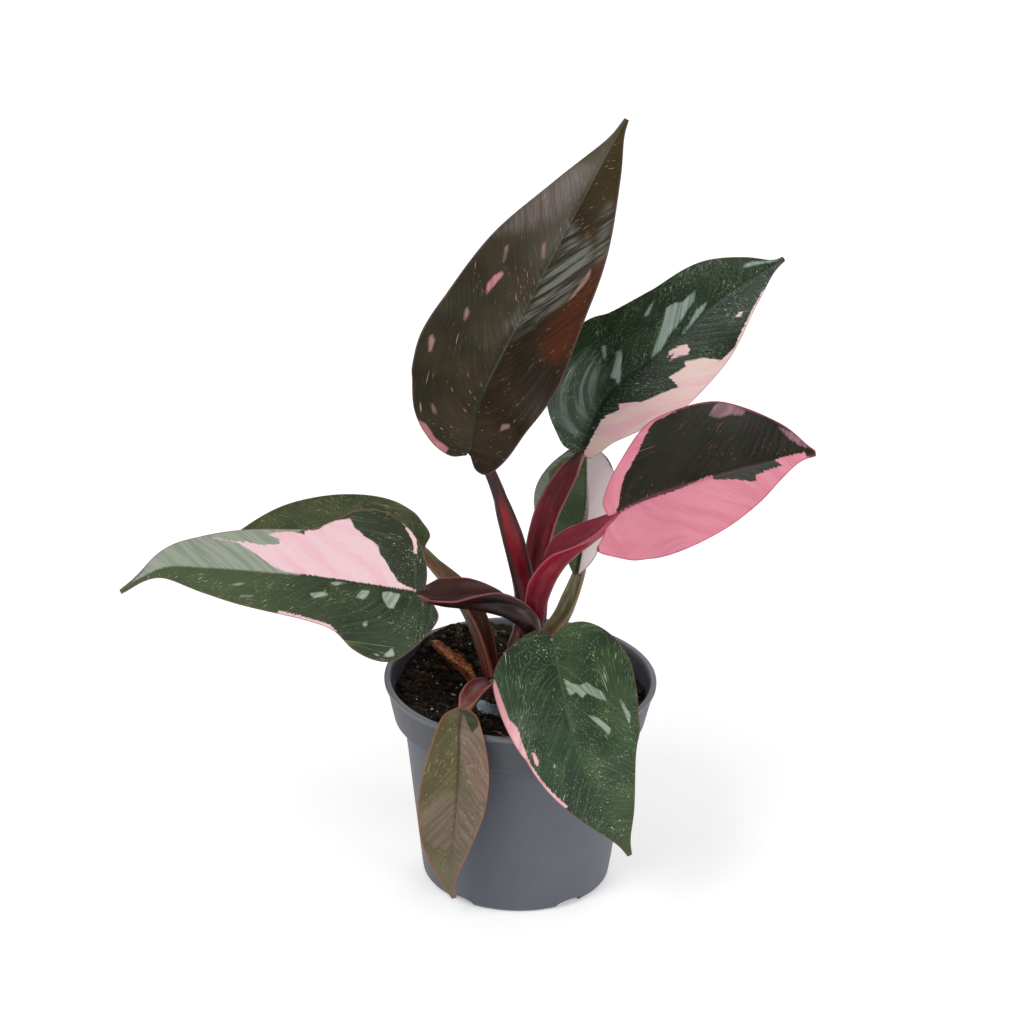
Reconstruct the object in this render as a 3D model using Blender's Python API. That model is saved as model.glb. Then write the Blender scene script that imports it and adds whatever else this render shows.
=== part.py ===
"""A pink princess philodendron in a 6 cm nursery pot.

The pot stands on the origin, +Z is up and -Y is the side that the plant is looked at from.
Sizes are worked in millimetres and turned into metres when a mesh is made.
"""

import math

import bmesh
import bpy
import numpy as np
from mathutils import Vector, noise

MM = 0.001
GAP = 0.3

# Pot, a thin nursery pot with a stepped collar.
POT_HEIGHT = 48.0
RIM_RADIUS = 30.0
RIM_LIP = 1.3
COLLAR_DEPTH = 9.2
COLLAR_FOOT_RADIUS = 27.7
WALL_TOP_RADIUS = 25.6
WALL_FOOT_RADIUS = 21.1
BASE_RADIUS = 19.8
WALL = 1.0
FLOOR = 1.2
CORNER_RISE = 3.0
POT_SEGMENTS = 48
NOTCH_COUNT = 5
NOTCH_FIRST = math.radians(-126)
NOTCH_WIDTH = 6.5
NOTCH_HEIGHT = 1.7
NOTCH_DEPTH = 2.6

# Potting mix, heaped up against the rim at the back left.
SOIL_TOP = 43.6
SOIL_ROUGHNESS = 1.1
SOIL_GRAIN = 4.5
SOIL_RINGS = 8
SOIL_SEGMENTS = 40
HEAP_CENTRE = (-13.0, 17.0)
HEAP_HEIGHT = 5.2
HEAP_SPREAD = 7.0

# Plug of the young plant, a paper sleeve filled with mix.
PLUG_CENTRE = (-3.0, -4.6)
SLEEVE_RADIUS = 6.8
SLEEVE_WALL = 0.7
SLEEVE_BOTTOM = 24.0
SLEEVE_TOP = 46.6
PLUG_TOP = 45.2
PLUG_SEGMENTS = 28

# Stem, from inside the plug to the crown.
STEM_PATH = [
    (-3.4, -4.4, 28.0), (-3.2, -4.2, 44.0), (-2.2, -3.2, 51.0), (-0.4, -1.4, 58.0),
    (0.8, -0.2, 63.0),
]
STEM_RADII = (2.8, 2.7, 2.4, 2.2, 2.0)
STEM_SIDES = 14
STEM_ROWS = 14

BLADE_ROWS = 15
BLADE_COLUMNS = (0.0, 0.09, 0.36, 0.68, 1.0)
BLADE_THICKNESS = 0.7
KEEL_DEPTH = 1.1
VEIN_BOW = 0.08
LOBE_LIFT = 0.02
STALK_ROWS = 12
STALK_TUCK = 2.5
SEAM_MERGE = 0.05
WING_THICKNESS = 0.7


def clear_scene():
    for obj in list(bpy.data.objects):
        bpy.data.objects.remove(obj, do_unlink=True)


def material(name, color, roughness):
    made = bpy.data.materials.new(name)
    made.use_nodes = True
    shader = made.node_tree.nodes["Principled BSDF"]
    shader.inputs["Base Color"].default_value = (*color, 1.0)
    shader.inputs["Roughness"].default_value = roughness
    shader.inputs["Metallic"].default_value = 0.0
    made.diffuse_color = (*color, 1.0)
    return made


def mesh_object(name, points, faces, finish):
    """One named object from points in millimetres, with its faces pointing out."""
    mesh = bpy.data.meshes.new(name)
    mesh.from_pydata([tuple(float(c) * MM for c in p) for p in points], [], faces)
    solid = bmesh.new()
    solid.from_mesh(mesh)
    bmesh.ops.recalc_face_normals(solid, faces=solid.faces)
    if solid.calc_volume(signed=True) < 0:
        bmesh.ops.reverse_faces(solid, faces=solid.faces)
    solid.to_mesh(mesh)
    solid.free()
    obj = bpy.data.objects.new(name, mesh)
    bpy.context.scene.collection.objects.link(obj)
    mesh.materials.append(finish)
    mesh.shade_smooth()
    mesh.set_sharp_from_angle(angle=math.radians(40))
    return obj


def turned(profile, segments, centre=(0.0, 0.0), closed=False):
    """Points and faces of a (radius, height) profile turned about a vertical axis.

    A closed profile is a ring. Any other starts and ends on the axis.
    """
    points, rows = [], []
    for radius, height in profile:
        if radius == 0:
            rows.append([len(points)] * segments)
            points.append((*centre, height))
            continue
        rows.append([len(points) + k for k in range(segments)])
        for k in range(segments):
            turn = 2 * math.pi * k / segments
            points.append((centre[0] + radius * math.cos(turn), centre[1] + radius * math.sin(turn), height))
    faces = []
    for i in range(len(rows) if closed else len(rows) - 1):
        low, high = rows[i], rows[(i + 1) % len(rows)]
        for k in range(segments):
            m = (k + 1) % segments
            faces.append(tuple(dict.fromkeys((low[k], low[m], high[m], high[k]))))
    return points, faces


def catmull_rom(knots, count):
    """A smooth curve through the knots, sampled evenly along its length."""
    knots = np.asarray(knots, float)
    ends = np.vstack([2 * knots[0] - knots[1], knots, 2 * knots[-1] - knots[-2]])
    fine = []
    for i in range(len(knots) - 1):
        p0, p1, p2, p3 = ends[i : i + 4]
        for t in np.linspace(0, 1, 24, endpoint=False):
            bend = 2 * p0 - 5 * p1 + 4 * p2 - p3
            fine.append(0.5 * (2 * p1 + (p2 - p0) * t + bend * t**2 + (3 * p1 - p0 - 3 * p2 + p3) * t**3))
    fine.append(knots[-1])
    fine = np.array(fine)
    steps = np.concatenate([[0], np.cumsum(np.linalg.norm(np.diff(fine, axis=0), axis=1))])
    places = np.linspace(0, steps[-1], count)
    return np.stack([np.interp(places, steps, fine[:, k]) for k in range(fine.shape[1])], axis=1)


def along(values, share):
    """A value read from a short list that is spread evenly over 0 to 1."""
    values = np.asarray(values, float)
    if values.ndim == 0:
        return float(values)
    stops = np.linspace(0, 1, len(values))
    if values.ndim == 1:
        return float(np.interp(share, stops, values))
    return np.array([np.interp(share, stops, values[:, k]) for k in range(values.shape[1])])


def unit(vector):
    return vector / np.linalg.norm(vector)


class Spine:
    """The line that a blade or a stalk follows, with the way its upper side faces."""

    SAMPLES = 160

    def __init__(self, knots, facing):
        self.points = catmull_rom(knots, self.SAMPLES)
        self.facing = facing
        self.length = float(np.linalg.norm(np.diff(self.points, axis=0), axis=1).sum())

    def at(self, distance):
        """Point, tangent, upper-side normal and right-hand side at a distance along the spine."""
        share = min(max(distance / self.length, 0.0), 1.0)
        place = share * (self.SAMPLES - 1)
        i = min(int(place), self.SAMPLES - 2)
        point = self.points[i] + (self.points[i + 1] - self.points[i]) * (place - i)
        tangent = unit(self.points[min(i + 3, self.SAMPLES - 1)] - self.points[max(i - 2, 0)])
        point = point + tangent * (distance - share * self.length)
        face = along(self.facing, share)
        normal = unit(face - tangent * float(face @ tangent))
        return point, tangent, normal, np.cross(tangent, normal)


def bent(distance, fold, curl, width):
    """Outward and upward travel on a sheet that leaves at angle fold and turns by curl over its width."""
    turn = curl * distance / width
    if abs(turn) < 1e-4:
        return distance * math.cos(fold), distance * math.sin(fold)
    bend = turn / distance
    outward = (math.sin(fold + turn) - math.sin(fold)) / bend
    upward = (math.cos(fold) - math.cos(fold + turn)) / bend
    return outward, upward


def blade_point(spine, half, side, widest, root, edge, v):
    """A point a share v of the way from the midrib to the edge, and the way the blade faces there."""
    a = root + (edge[0] - root) * v - VEIN_BOW * edge[1] * 4 * v * (1 - v)
    x = edge[1] * v
    point, _, normal, right = spine.at(a)
    place = min(max(a / spine.length, 0.0), 1.0)
    fold = math.radians(along(half["fold"], place))
    curl = math.radians(along(half["curl"], place))
    out, lift = bent(x, fold, curl, widest) if x > 1e-6 else (0.0, 0.0)
    if a < 0:
        lift += LOBE_LIFT * a * a
    amplitude, waves, phase = half["wave"]
    lift += amplitude * (x / widest) ** 2 * math.sin(2 * math.pi * (waves * place + phase))
    turn = (fold + curl * x / widest) if v > 0 else 0.0
    up = normal * math.cos(turn) - right * side * math.sin(turn)
    return point + right * side * out + normal * lift, up


def blade_grids(leaf):
    """Upper and lower sides of a blade, in rows from the left edge over the midrib to the right edge."""
    spine = Spine(leaf["midrib"], leaf["facing"])
    last = len(BLADE_COLUMNS) - 1
    upper = np.empty((BLADE_ROWS + 1, 2 * last + 1, 3))
    lower = np.empty_like(upper)
    for side, key in ((-1, "left"), (1, "right")):
        half = leaf[key]
        outline = catmull_rom(np.array(half["outline"]) * (spine.length, 1), BLADE_ROWS + 1)
        widest = outline[:, 1].max()
        for i, edge in enumerate(outline):
            share = i / BLADE_ROWS
            for j, v in enumerate(BLADE_COLUMNS):
                point, up = blade_point(spine, half, side, widest, spine.length * share, edge, v)
                thick = BLADE_THICKNESS + (KEEL_DEPTH * (1 - share) if j == 0 else 0.0)
                upper[i, last + side * j] = point
                lower[i, last + side * j] = point - up * thick
    return upper, lower


def stalk_grids(stalk):
    """Upper and lower sides of a petiole, which opens downwards into a winged sheath."""
    spine = Spine(stalk["path"], stalk["facing"])
    last = len(BLADE_COLUMNS) - 1
    upper = np.empty((STALK_ROWS + 1, 2 * last + 1, 3))
    lower = np.empty_like(upper)
    for i in range(STALK_ROWS + 1):
        share = i / STALK_ROWS
        point, _, normal, right = spine.at(share * spine.length)
        core = along(stalk["core"], share)
        for j in range(-last, last + 1):
            side, key = (-1, "left") if j < 0 else (1, "right")
            reach = max(along(stalk[key], share), core)
            curl = math.radians(along(stalk["curl_" + key], share))
            v = math.sin(0.5 * math.pi * abs(j) / last)
            out, lift = bent(reach * v, 0.0, curl, reach) if j else (0.0, 0.0)
            up = normal * math.cos(curl * v) - right * side * math.sin(curl * v)
            middle = point + right * side * out + normal * lift
            winged = min((reach - core) / core, 1.0)
            round_half = core * math.sqrt(1 - v * v)
            belly = core * max(0.0, 1 - (reach * v / (1.3 * core)) ** 2)
            above = (1 - winged) * 0.5 * round_half
            below = (1 - winged) * 1.2 * round_half + winged * 1.3 * belly
            upper[i, j + last] = middle + up * above
            lower[i, j + last] = middle - up * (below + WING_THICKNESS)
    return upper, lower


def slab(upper, lower):
    """A closed solid between two grids of points, split into triangles alike on both sides."""
    rows, columns = upper.shape[:2]
    points = np.concatenate([upper.reshape(-1, 3), lower.reshape(-1, 3)])
    under = rows * columns
    faces = []
    for i in range(rows - 1):
        for j in range(columns - 1):
            a, b = i * columns + j, i * columns + j + 1
            c, d = a + columns, b + columns
            pair = [(a, b, d), (a, d, c)] if j >= columns // 2 else [(a, b, c), (b, d, c)]
            for face in pair:
                faces.append(face)
                faces.append(tuple(under + k for k in reversed(face)))
    rim = list(range(columns))
    rim += [i * columns + columns - 1 for i in range(1, rows)]
    rim += [(rows - 1) * columns + j for j in range(columns - 2, -1, -1)]
    rim += [i * columns for i in range(rows - 2, 0, -1)]
    for k, a in enumerate(rim):
        b = rim[(k + 1) % len(rim)]
        faces.append((a, under + a, under + b))
        faces.append((a, under + b, b))
    return points, faces


def make_leaf(name, leaf, finish):
    """A whole leaf in one solid. Its petiole runs on a little way under the blade."""
    spine = Spine(leaf["midrib"], leaf["facing"])
    point, _, normal, _ = spine.at(STALK_TUCK)
    stalk = dict(leaf["stalk"])
    stalk["path"] = stalk["path"] + [tuple(point - normal * BLADE_THICKNESS)]
    whole = mesh_object(name, *slab(*blade_grids(leaf)), finish)
    petiole = mesh_object(name + "_petiole", *slab(*stalk_grids(stalk)), finish)
    return combine(whole, petiole, "UNION")


def combine(target, tool, operation):
    """The first object joined to or cut by the second, which is then removed."""
    step = target.modifiers.new(operation.lower(), "BOOLEAN")
    step.operation = operation
    step.solver = "EXACT"
    step.object = tool
    shown = target.evaluated_get(bpy.context.evaluated_depsgraph_get())
    made = bpy.data.meshes.new_from_object(shown)
    cleaned = bmesh.new()
    cleaned.from_mesh(made)
    bmesh.ops.remove_doubles(cleaned, verts=cleaned.verts, dist=SEAM_MERGE * MM)
    bmesh.ops.triangulate(cleaned, faces=cleaned.faces)
    cleaned.to_mesh(made)
    cleaned.free()
    target.modifiers.clear()
    target.data = made
    bpy.data.objects.remove(tool, do_unlink=True)
    return target


# Each leaf has its midrib from base to tip, the way its upper side faces along it, and its two
# halves. An outline runs from the petiole back round the lobe and on to the tip, as a share of the
# midrib's length and a distance from it. Fold and curl are in degrees, from base to tip.
def top_leaf():
    return {
        "midrib": [
            (-11.9, -5, 104.6), (-9.8, -3, 115.5), (-3.1, 2, 129), (4.9, 7, 144.7),
            (13.8, 13.5, 161.3), (19.6, 17, 172),
        ],
        "facing": [(-0.4, -0.85, 0.1), (-0.5, -0.8, 0.3), (-0.45, -0.8, 0.35)],
        "left": {
            "outline": [
                (-0.02, 0.5), (-0.03, 4), (0, 8.6), (0.07, 12.6), (0.13, 14.9), (0.16, 16.2),
                (0.24, 17.7), (0.36, 16.9), (0.57, 13.4), (0.76, 7.6), (0.92, 1.9), (1, 0.5),
            ],
            "fold": (18, 14, 8),
            "curl": (12, 8, 0),
            "wave": (0.8, 2.0, 0.1),
        },
        "right": {
            "outline": [
                (-0.02, 0.5), (-0.05, 3), (-0.04, 7), (0.06, 12.3), (0.2, 15.6), (0.33, 16.3),
                (0.5, 15), (0.67, 11.7), (0.85, 6), (0.95, 1.8), (1, 0.5),
            ],
            "fold": (18, 14, 8),
            "curl": (-10, -8, 0),
            "wave": (0.8, 2.0, 0.4),
        },
        "stalk": {
            "path": [
                (1.1, 0.2, 64.4), (0.4, -1.0, 70.5), (-2.0, -1.8, 81), (-4, -1.4, 87.5),
                (-6.1, -1.0, 93.7), (-8.1, -1.4, 98.6), (-10.2, -3, 102), (-11.9, -5, 104.6),
            ],
            "facing": [(0.2, -0.95, 0.2), (0.1, -0.95, 0.2), (-0.1, -0.9, 0.2)],
            "core": (1.4, 1.4, 1.3, 1.2, 1.1),
            "left": (1.8, 2.4, 2.3, 1.3, 1.2, 1.1),
            "right": (1.8, 2.4, 2.3, 1.3, 1.2, 1.1),
            "curl_left": (80, 60, 50, 20, 0, 0),
            "curl_right": (80, 60, 50, 20, 0, 0),
        },
    }


def upper_right_leaf():
    return {
        "midrib": [
            (12.4, 10, 98.9), (17, 12.5, 109.7), (25.5, 14, 117.5), (33.2, 15.5, 124),
            (41.3, 17, 131.7), (54.5, 19, 140.6),
        ],
        "facing": [(-0.1, -0.9, 0.35), (-0.15, -0.85, 0.45), (-0.1, -0.85, 0.5)],
        "left": {
            "outline": [
                (-0.02, 0.5), (-0.02, 4), (0.03, 7.5), (0.11, 11.2), (0.22, 14.6), (0.31, 15.3),
                (0.42, 13.3), (0.58, 11.5), (0.75, 9.2), (0.88, 5), (0.96, 1.2), (1, 0.5),
            ],
            "fold": (8, 6, 4),
            "curl": (-10, -6, 0),
            "wave": (0.6, 2.0, 0.0),
        },
        "right": {
            "outline": [
                (-0.02, 0.5), (-0.02, 2.6), (0.05, 5.4), (0.14, 9.8), (0.28, 12.2), (0.41, 13),
                (0.58, 11.4), (0.72, 9.2), (0.84, 5.3), (0.94, 1.6), (1, 0.5),
            ],
            "fold": (8, 6, 4),
            "curl": (-16, -10, 0),
            "wave": (0.6, 2.0, 0.5),
        },
        "stalk": {
            "path": [
                (2.9, 3.2, 60.2), (3.2, 4.6, 67.3), (3.6, 5.5, 75.5), (5.2, 7, 84.1),
                (8.4, 8.8, 91.5), (12.4, 10, 98.9),
            ],
            "facing": [(-0.7, -0.7, 0.2), (-0.4, -0.9, 0.2), (-0.3, -0.85, 0.4)],
            "core": (1.4, 1.5, 1.4, 1.3, 1.2),
            "left": (1.8, 3.0, 3.4, 3.2, 1.6, 1.1),
            "right": (1.8, 3.0, 3.2, 3.0, 1.6, 1.1),
            "curl_left": (60, 70, 70, 60, 20, 0),
            "curl_right": (60, 70, 70, 60, 20, 0),
        },
    }


def right_leaf():
    return {
        "midrib": [
            (18.8, -10, 92), (23.4, -11, 95.4), (29.9, -13, 99.4), (39.5, -15, 103.9),
            (53, -17, 109.3), (60.8, -18, 111.3),
        ],
        "facing": [(-0.3, -0.85, 0.45), (-0.2, -0.85, 0.5), (0.1, -0.85, 0.5)],
        "left": {
            "outline": [
                (-0.02, 0.5), (-0.01, 3.4), (0.06, 6.4), (0.15, 9.9), (0.29, 14.9), (0.43, 15.9),
                (0.61, 15.4), (0.74, 12.3), (0.87, 7.2), (0.96, 2.4), (1, 0.6),
            ],
            "fold": (14, 10, 4),
            "curl": (-16, -12, 0),
            "wave": (0.6, 2.0, 0.2),
        },
        "right": {
            "outline": [
                (-0.02, 0.5), (-0.08, 3.2), (-0.13, 5.2), (-0.07, 8.2), (0.03, 11.4), (0.18, 13),
                (0.34, 13.1), (0.52, 11.4), (0.7, 8.1), (0.82, 4.6), (0.93, 1.4), (1, 0.6),
            ],
            "fold": (10, 8, 4),
            "curl": (-24, -16, 0),
            "wave": (0.6, 2.0, 0.6),
        },
        "stalk": {
            "path": [
                (1.8, -4.3, 58.5), (2.4, -5.8, 66), (3.4, -7, 73), (5.4, -7.9, 79),
                (8.8, -8.5, 83.6), (13.2, -9.2, 87.4), (18.8, -10, 92),
            ],
            "facing": [(-0.4, 0.9, 0.2), (-0.8, 0.3, 0.4), (-0.7, -0.2, 0.6), (-0.5, -0.4, 0.6)],
            "core": (1.1, 1.6, 2.0, 1.8, 1.3),
            "left": (1.6, 2.2, 3.2, 4.2, 2.4, 1.3),
            "right": (1.5, 2.2, 4.2, 4.6, 2.4, 1.3),
            "curl_left": (30, 30, 40, 60, 20, 0),
            "curl_right": (20, 30, 60, 70, 20, 0),
        },
    }


def left_leaf():
    return {
        "midrib": [
            (-22.3, -10, 72.9), (-42, -13, 76.9), (-55.8, -15, 79.1), (-67.3, -16.5, 80.5),
            (-77, -18, 80.9), (-85.7, -20, 76),
        ],
        "facing": [(0.05, -0.7, 0.7), (0.0, -0.6, 0.75), (0.0, -0.45, 0.9)],
        "left": {
            "outline": [
                (-0.02, 0.5), (-0.05, 2.4), (-0.07, 5.6), (-0.03, 10.2), (0.05, 15.7),
                (0.12, 16.6), (0.2, 14.8), (0.27, 11.4), (0.36, 10), (0.6, 8.2), (0.77, 4.9),
                (0.9, 1.3), (1, 0.5),
            ],
            "fold": (2, 2, 2),
            "curl": (-24, -14, 0),
            "wave": (0.7, 2.0, 0.1),
        },
        "right": {
            "outline": [
                (-0.02, 0.5), (-0.02, 4.2), (0, 8.6), (0.05, 13.2), (0.14, 16.7), (0.23, 16.2),
                (0.31, 12.6), (0.39, 10.3), (0.6, 9.1), (0.77, 6.2), (0.9, 1.7), (1, 0.5),
            ],
            "fold": (14, 12, 6),
            "curl": (-10, -6, 0),
            "wave": (0.7, 2.0, 0.4),
        },
        "stalk": {
            "path": [
                (2.6, -8.6, 62.0), (1.6, -9.8, 66.0), (-2.4, -10.2, 69.8), (-8.6, -9.8, 71.4),
                (-15.4, -9.8, 71.9), (-22.3, -10, 72.9),
            ],
            "facing": [(-0.3, 0.9, 0.1), (0.3, 0.5, 0.8), (0, -0.3, 0.9), (0, -0.6, 0.8)],
            "core": (1.0, 1.5, 1.6, 1.5, 1.2),
            "left": (1.5, 2.6, 4.6, 4.6, 3.2, 1.2),
            "right": (1.5, 2.6, 4.6, 4.8, 3.8, 1.2),
            "curl_left": (50, 60, 70, 70, 60, 10),
            "curl_right": (50, 60, 70, 70, 60, 10),
        },
    }


def back_left_leaf():
    return {
        "midrib": [(-22.7, 9, 74.7), (-37.1, 12, 75.8), (-51.6, 14, 75.2), (-68.3, 16, 69.9)],
        "facing": [(0.1, -0.5, 0.85), (0.0, -0.45, 0.9), (0.0, -0.3, 0.9)],
        "left": {
            "outline": [
                (-0.02, 0.5), (-0.05, 3.4), (-0.02, 6.6), (0.08, 10.6), (0.24, 12), (0.5, 10.5),
                (0.7, 7.6), (0.87, 3.6), (0.95, 1.4), (1, 0.5),
            ],
            "fold": (6, 4, 2),
            "curl": (-20, -14, 0),
            "wave": (0.5, 2.0, 0.1),
        },
        "right": {
            "outline": [
                (-0.02, 0.5), (-0.03, 3.4), (0.02, 6.2), (0.1, 9.3), (0.24, 11.4), (0.5, 9.6),
                (0.68, 7.8), (0.86, 3.9), (0.95, 1.4), (1, 0.5),
            ],
            "fold": (8, 6, 4),
            "curl": (-14, -8, 0),
            "wave": (0.5, 2.0, 0.4),
        },
        "stalk": {
            "path": [
                (-5.8, -2.8, 49.5), (-7.4, -1.6, 54.7), (-9.3, 0, 60), (-12.2, 2.2, 65.1),
                (-16.4, 5, 69.7), (-22.7, 9, 74.7),
            ],
            "facing": [(0.9, -0.3, 0.3), (0.7, -0.4, 0.6), (0.5, -0.5, 0.7)],
            "core": (1.2, 1.3, 1.3, 1.2, 1.1),
            "left": (1.8, 2.8, 3.0, 2.6, 1.3, 1.2),
            "right": (1.8, 2.8, 3.0, 2.6, 1.3, 1.2),
            "curl_left": (50, 60, 60, 50, 10, 0),
            "curl_right": (50, 60, 60, 50, 10, 0),
        },
    }


def front_leaf():
    return {
        "midrib": [
            (6.8, -15, 65.2), (8.5, -24, 59.8), (9.9, -30.5, 55.6), (11.7, -34.5, 51.1),
            (14.9, -36.5, 42.6), (24.5, -35, 23.2),
        ],
        "facing": [(0.0, -0.6, 0.8), (0.0, -0.85, 0.5), (0.0, -0.95, 0.3)],
        "left": {
            "outline": [
                (-0.02, 0.5), (-0.05, 3.6), (-0.05, 8), (0, 12.4), (0.1, 15.7), (0.22, 16.3),
                (0.4, 15.2), (0.58, 12.2), (0.8, 6.4), (0.93, 2), (1, 0.5),
            ],
            "fold": (6, 4, 2),
            "curl": (-30, -20, 0),
            "wave": (0.5, 2.0, 0.2),
        },
        "right": {
            "outline": [
                (-0.02, 0.5), (-0.04, 3.2), (-0.01, 7.6), (0.05, 12.2), (0.13, 14.4), (0.23, 14.5),
                (0.36, 13.2), (0.55, 9.9), (0.76, 5.5), (0.92, 1.5), (1, 0.5),
            ],
            "fold": (6, 4, 2),
            "curl": (-30, -20, 0),
            "wave": (0.5, 2.0, 0.6),
        },
        "stalk": {
            "path": [
                (-0.6, -8.2, 50.0), (0.2, -11.2, 56.5), (2.2, -12.8, 61.2), (4.3, -13.6, 63.4),
                (6.4, -15.2, 64.2),
            ],
            "facing": [(0.0, 0.9, 0.3), (-0.1, 0.6, 0.8), (0.0, 0.2, 1.0)],
            "core": (1.4, 1.5, 1.4, 0.8, 0.7),
            "left": (2.2, 4.0, 4.4, 2.6, 0.9, 0.7),
            "right": (2.2, 4.2, 4.8, 2.6, 0.9, 0.7),
            "curl_left": (50, 40, 30, 30, 0),
            "curl_right": (60, 60, 55, 40, 0),
        },
    }


def hanging_leaf():
    return {
        "midrib": [
            (-12.2, -22, 51), (-12.8, -28.5, 49.9), (-12.8, -32.2, 43.6), (-13.1, -32, 34.6),
            (-13.9, -29.8, 22), (-14.4, -26.5, 11.1), (-13.3, -24.5, 5.5),
        ],
        "facing": [(0.1, -0.3, 0.9), (0.0, -0.9, 0.4), (0.0, -0.95, 0.1), (0.0, -0.95, 0.1)],
        "left": {
            "outline": [
                (0, 1.1), (0.05, 3.1), (0.15, 5.1), (0.3, 6.7), (0.45, 6.5), (0.57, 5.4),
                (0.7, 3.8), (0.85, 1.9), (0.94, 0.8), (1, 0.5),
            ],
            "fold": (16, 10, 4),
            "curl": (-10, -6, 0),
            "wave": (0.4, 2.0, 0.2),
        },
        "right": {
            "outline": [
                (0, 1.1), (0.04, 2.4), (0.12, 4.5), (0.24, 6.7), (0.37, 8), (0.5, 8.1),
                (0.63, 7.1), (0.77, 4.8), (0.9, 1.8), (1, 0.5),
            ],
            "fold": (16, 10, 4),
            "curl": (-10, -6, 0),
            "wave": (0.4, 2.0, 0.6),
        },
        "stalk": {
            "path": [(-5.0, -9.0, 49.6), (-7.0, -11.8, 51.8), (-9.8, -16.8, 52.4), (-12.2, -22, 51)],
            "facing": [(0.3, 0.7, 0.7), (0.1, 0.2, 1.0), (0, 0.1, 1.0)],
            "core": (1.2, 1.2, 1.1, 0.9),
            "left": (2.2, 2.8, 2.6, 1.1),
            "right": (2.2, 2.8, 2.6, 1.2),
            "curl_left": (60, 60, 50, 10),
            "curl_right": (60, 60, 50, 10),
        },
    }


def back_leaf():
    return {
        "midrib": [
            (11.9, 11.5, 67.9), (12.5, 12.5, 71.8), (13.2, 14, 76.5), (13.7, 16, 82.3),
            (13.3, 19, 89), (12.7, 23, 95.1),
        ],
        "facing": [(-0.5, -0.8, 0.3), (-0.5, -0.8, 0.3), (-0.4, -0.8, 0.5)],
        "left": {
            "outline": [
                (0, 1), (0.05, 2), (0.17, 4.4), (0.28, 8.9), (0.38, 11.5), (0.56, 12),
                (0.7, 11.3), (0.84, 8.2), (0.95, 3.2), (1, 0.6),
            ],
            "fold": (20, 16, 8),
            "curl": (-10, -6, 0),
            "wave": (0.4, 2.0, 0.2),
        },
        "right": {
            "outline": [
                (0, 1), (0.05, 2.2), (0.16, 4.5), (0.32, 6), (0.48, 7.2), (0.66, 8.2),
                (0.8, 6.8), (0.92, 3.4), (1, 0.6),
            ],
            "fold": (20, 16, 8),
            "curl": (-10, -6, 0),
            "wave": (0.4, 2.0, 0.6),
        },
        "stalk": {
            "path": [(0.6, -0.4, 51.5), (5.2, 2.9, 56), (9.4, 7.2, 60.8), (11.9, 11.5, 67.9)],
            "facing": [(-0.7, -0.5, 0.6), (-0.5, -0.6, 0.6), (-0.3, -0.8, 0.4)],
            "core": (1.0, 1.1, 1.0, 0.9),
            "left": (1.4, 2.0, 2.0, 1.0),
            "right": (1.4, 2.0, 2.0, 1.0),
            "curl_left": (60, 60, 50, 10),
            "curl_right": (60, 60, 50, 10),
        },
    }


LEAVES = {
    "leaf_top": (top_leaf, (0.09, 0.06, 0.03), 0.35),
    "leaf_upper_right": (upper_right_leaf, (0.05, 0.09, 0.05), 0.38),
    "leaf_right": (right_leaf, (0.62, 0.22, 0.30), 0.4),
    "leaf_left": (left_leaf, (0.10, 0.15, 0.08), 0.38),
    "leaf_back_left": (back_left_leaf, (0.07, 0.11, 0.05), 0.4),
    "leaf_front": (front_leaf, (0.06, 0.10, 0.04), 0.4),
    "leaf_hanging": (hanging_leaf, (0.16, 0.13, 0.07), 0.42),
    "leaf_back": (back_leaf, (0.30, 0.22, 0.18), 0.4),
}


def make_pot(finish):
    collar_foot = POT_HEIGHT - COLLAR_DEPTH
    outside = [
        (0, 0),
        (BASE_RADIUS, 0),
        (WALL_FOOT_RADIUS - 0.35, 0.3 * CORNER_RISE),
        (WALL_FOOT_RADIUS, CORNER_RISE),
        (WALL_TOP_RADIUS, collar_foot),
        (COLLAR_FOOT_RADIUS, collar_foot),
        (RIM_RADIUS - 0.5, POT_HEIGHT - 1.3),
        (RIM_RADIUS, POT_HEIGHT - 0.9),
        (RIM_RADIUS, POT_HEIGHT - 0.3),
        (RIM_RADIUS - 0.3, POT_HEIGHT),
    ]
    inside = [
        (RIM_RADIUS - RIM_LIP, POT_HEIGHT),
        (COLLAR_FOOT_RADIUS - WALL, collar_foot + WALL),
        (WALL_TOP_RADIUS - WALL, collar_foot + WALL),
        (WALL_FOOT_RADIUS - WALL, CORNER_RISE),
        (BASE_RADIUS - WALL, FLOOR),
        (0, FLOOR),
    ]
    pot = mesh_object("pot", *turned(outside + inside, POT_SEGMENTS), finish)
    for k in range(NOTCH_COUNT):
        cut_notch(pot, NOTCH_FIRST + 2 * math.pi * k / NOTCH_COUNT)
    return pot


def cut_notch(pot, turn):
    """A drainage notch, open at the foot of the wall."""
    inner = BASE_RADIUS - NOTCH_DEPTH + 1
    half, top = NOTCH_WIDTH / 2, NOTCH_HEIGHT
    section = [
        (-half, -1), (half, -1), (half, 0.6 * top), (0.7 * half, top), (-0.7 * half, top),
        (-half, 0.6 * top),
    ]
    points = []
    for radius in (inner, WALL_FOOT_RADIUS + 2):
        for side, height in section:
            x = radius * math.cos(turn) - side * math.sin(turn)
            y = radius * math.sin(turn) + side * math.cos(turn)
            points.append((x, y, height))
    count = len(section)
    faces = [tuple(range(count)), tuple(range(count, 2 * count))]
    faces += [(k, (k + 1) % count, (k + 1) % count + count, k + count) for k in range(count)]
    combine(pot, mesh_object("notch_cutter", points, faces, pot.data.materials[0]), "DIFFERENCE")


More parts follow.
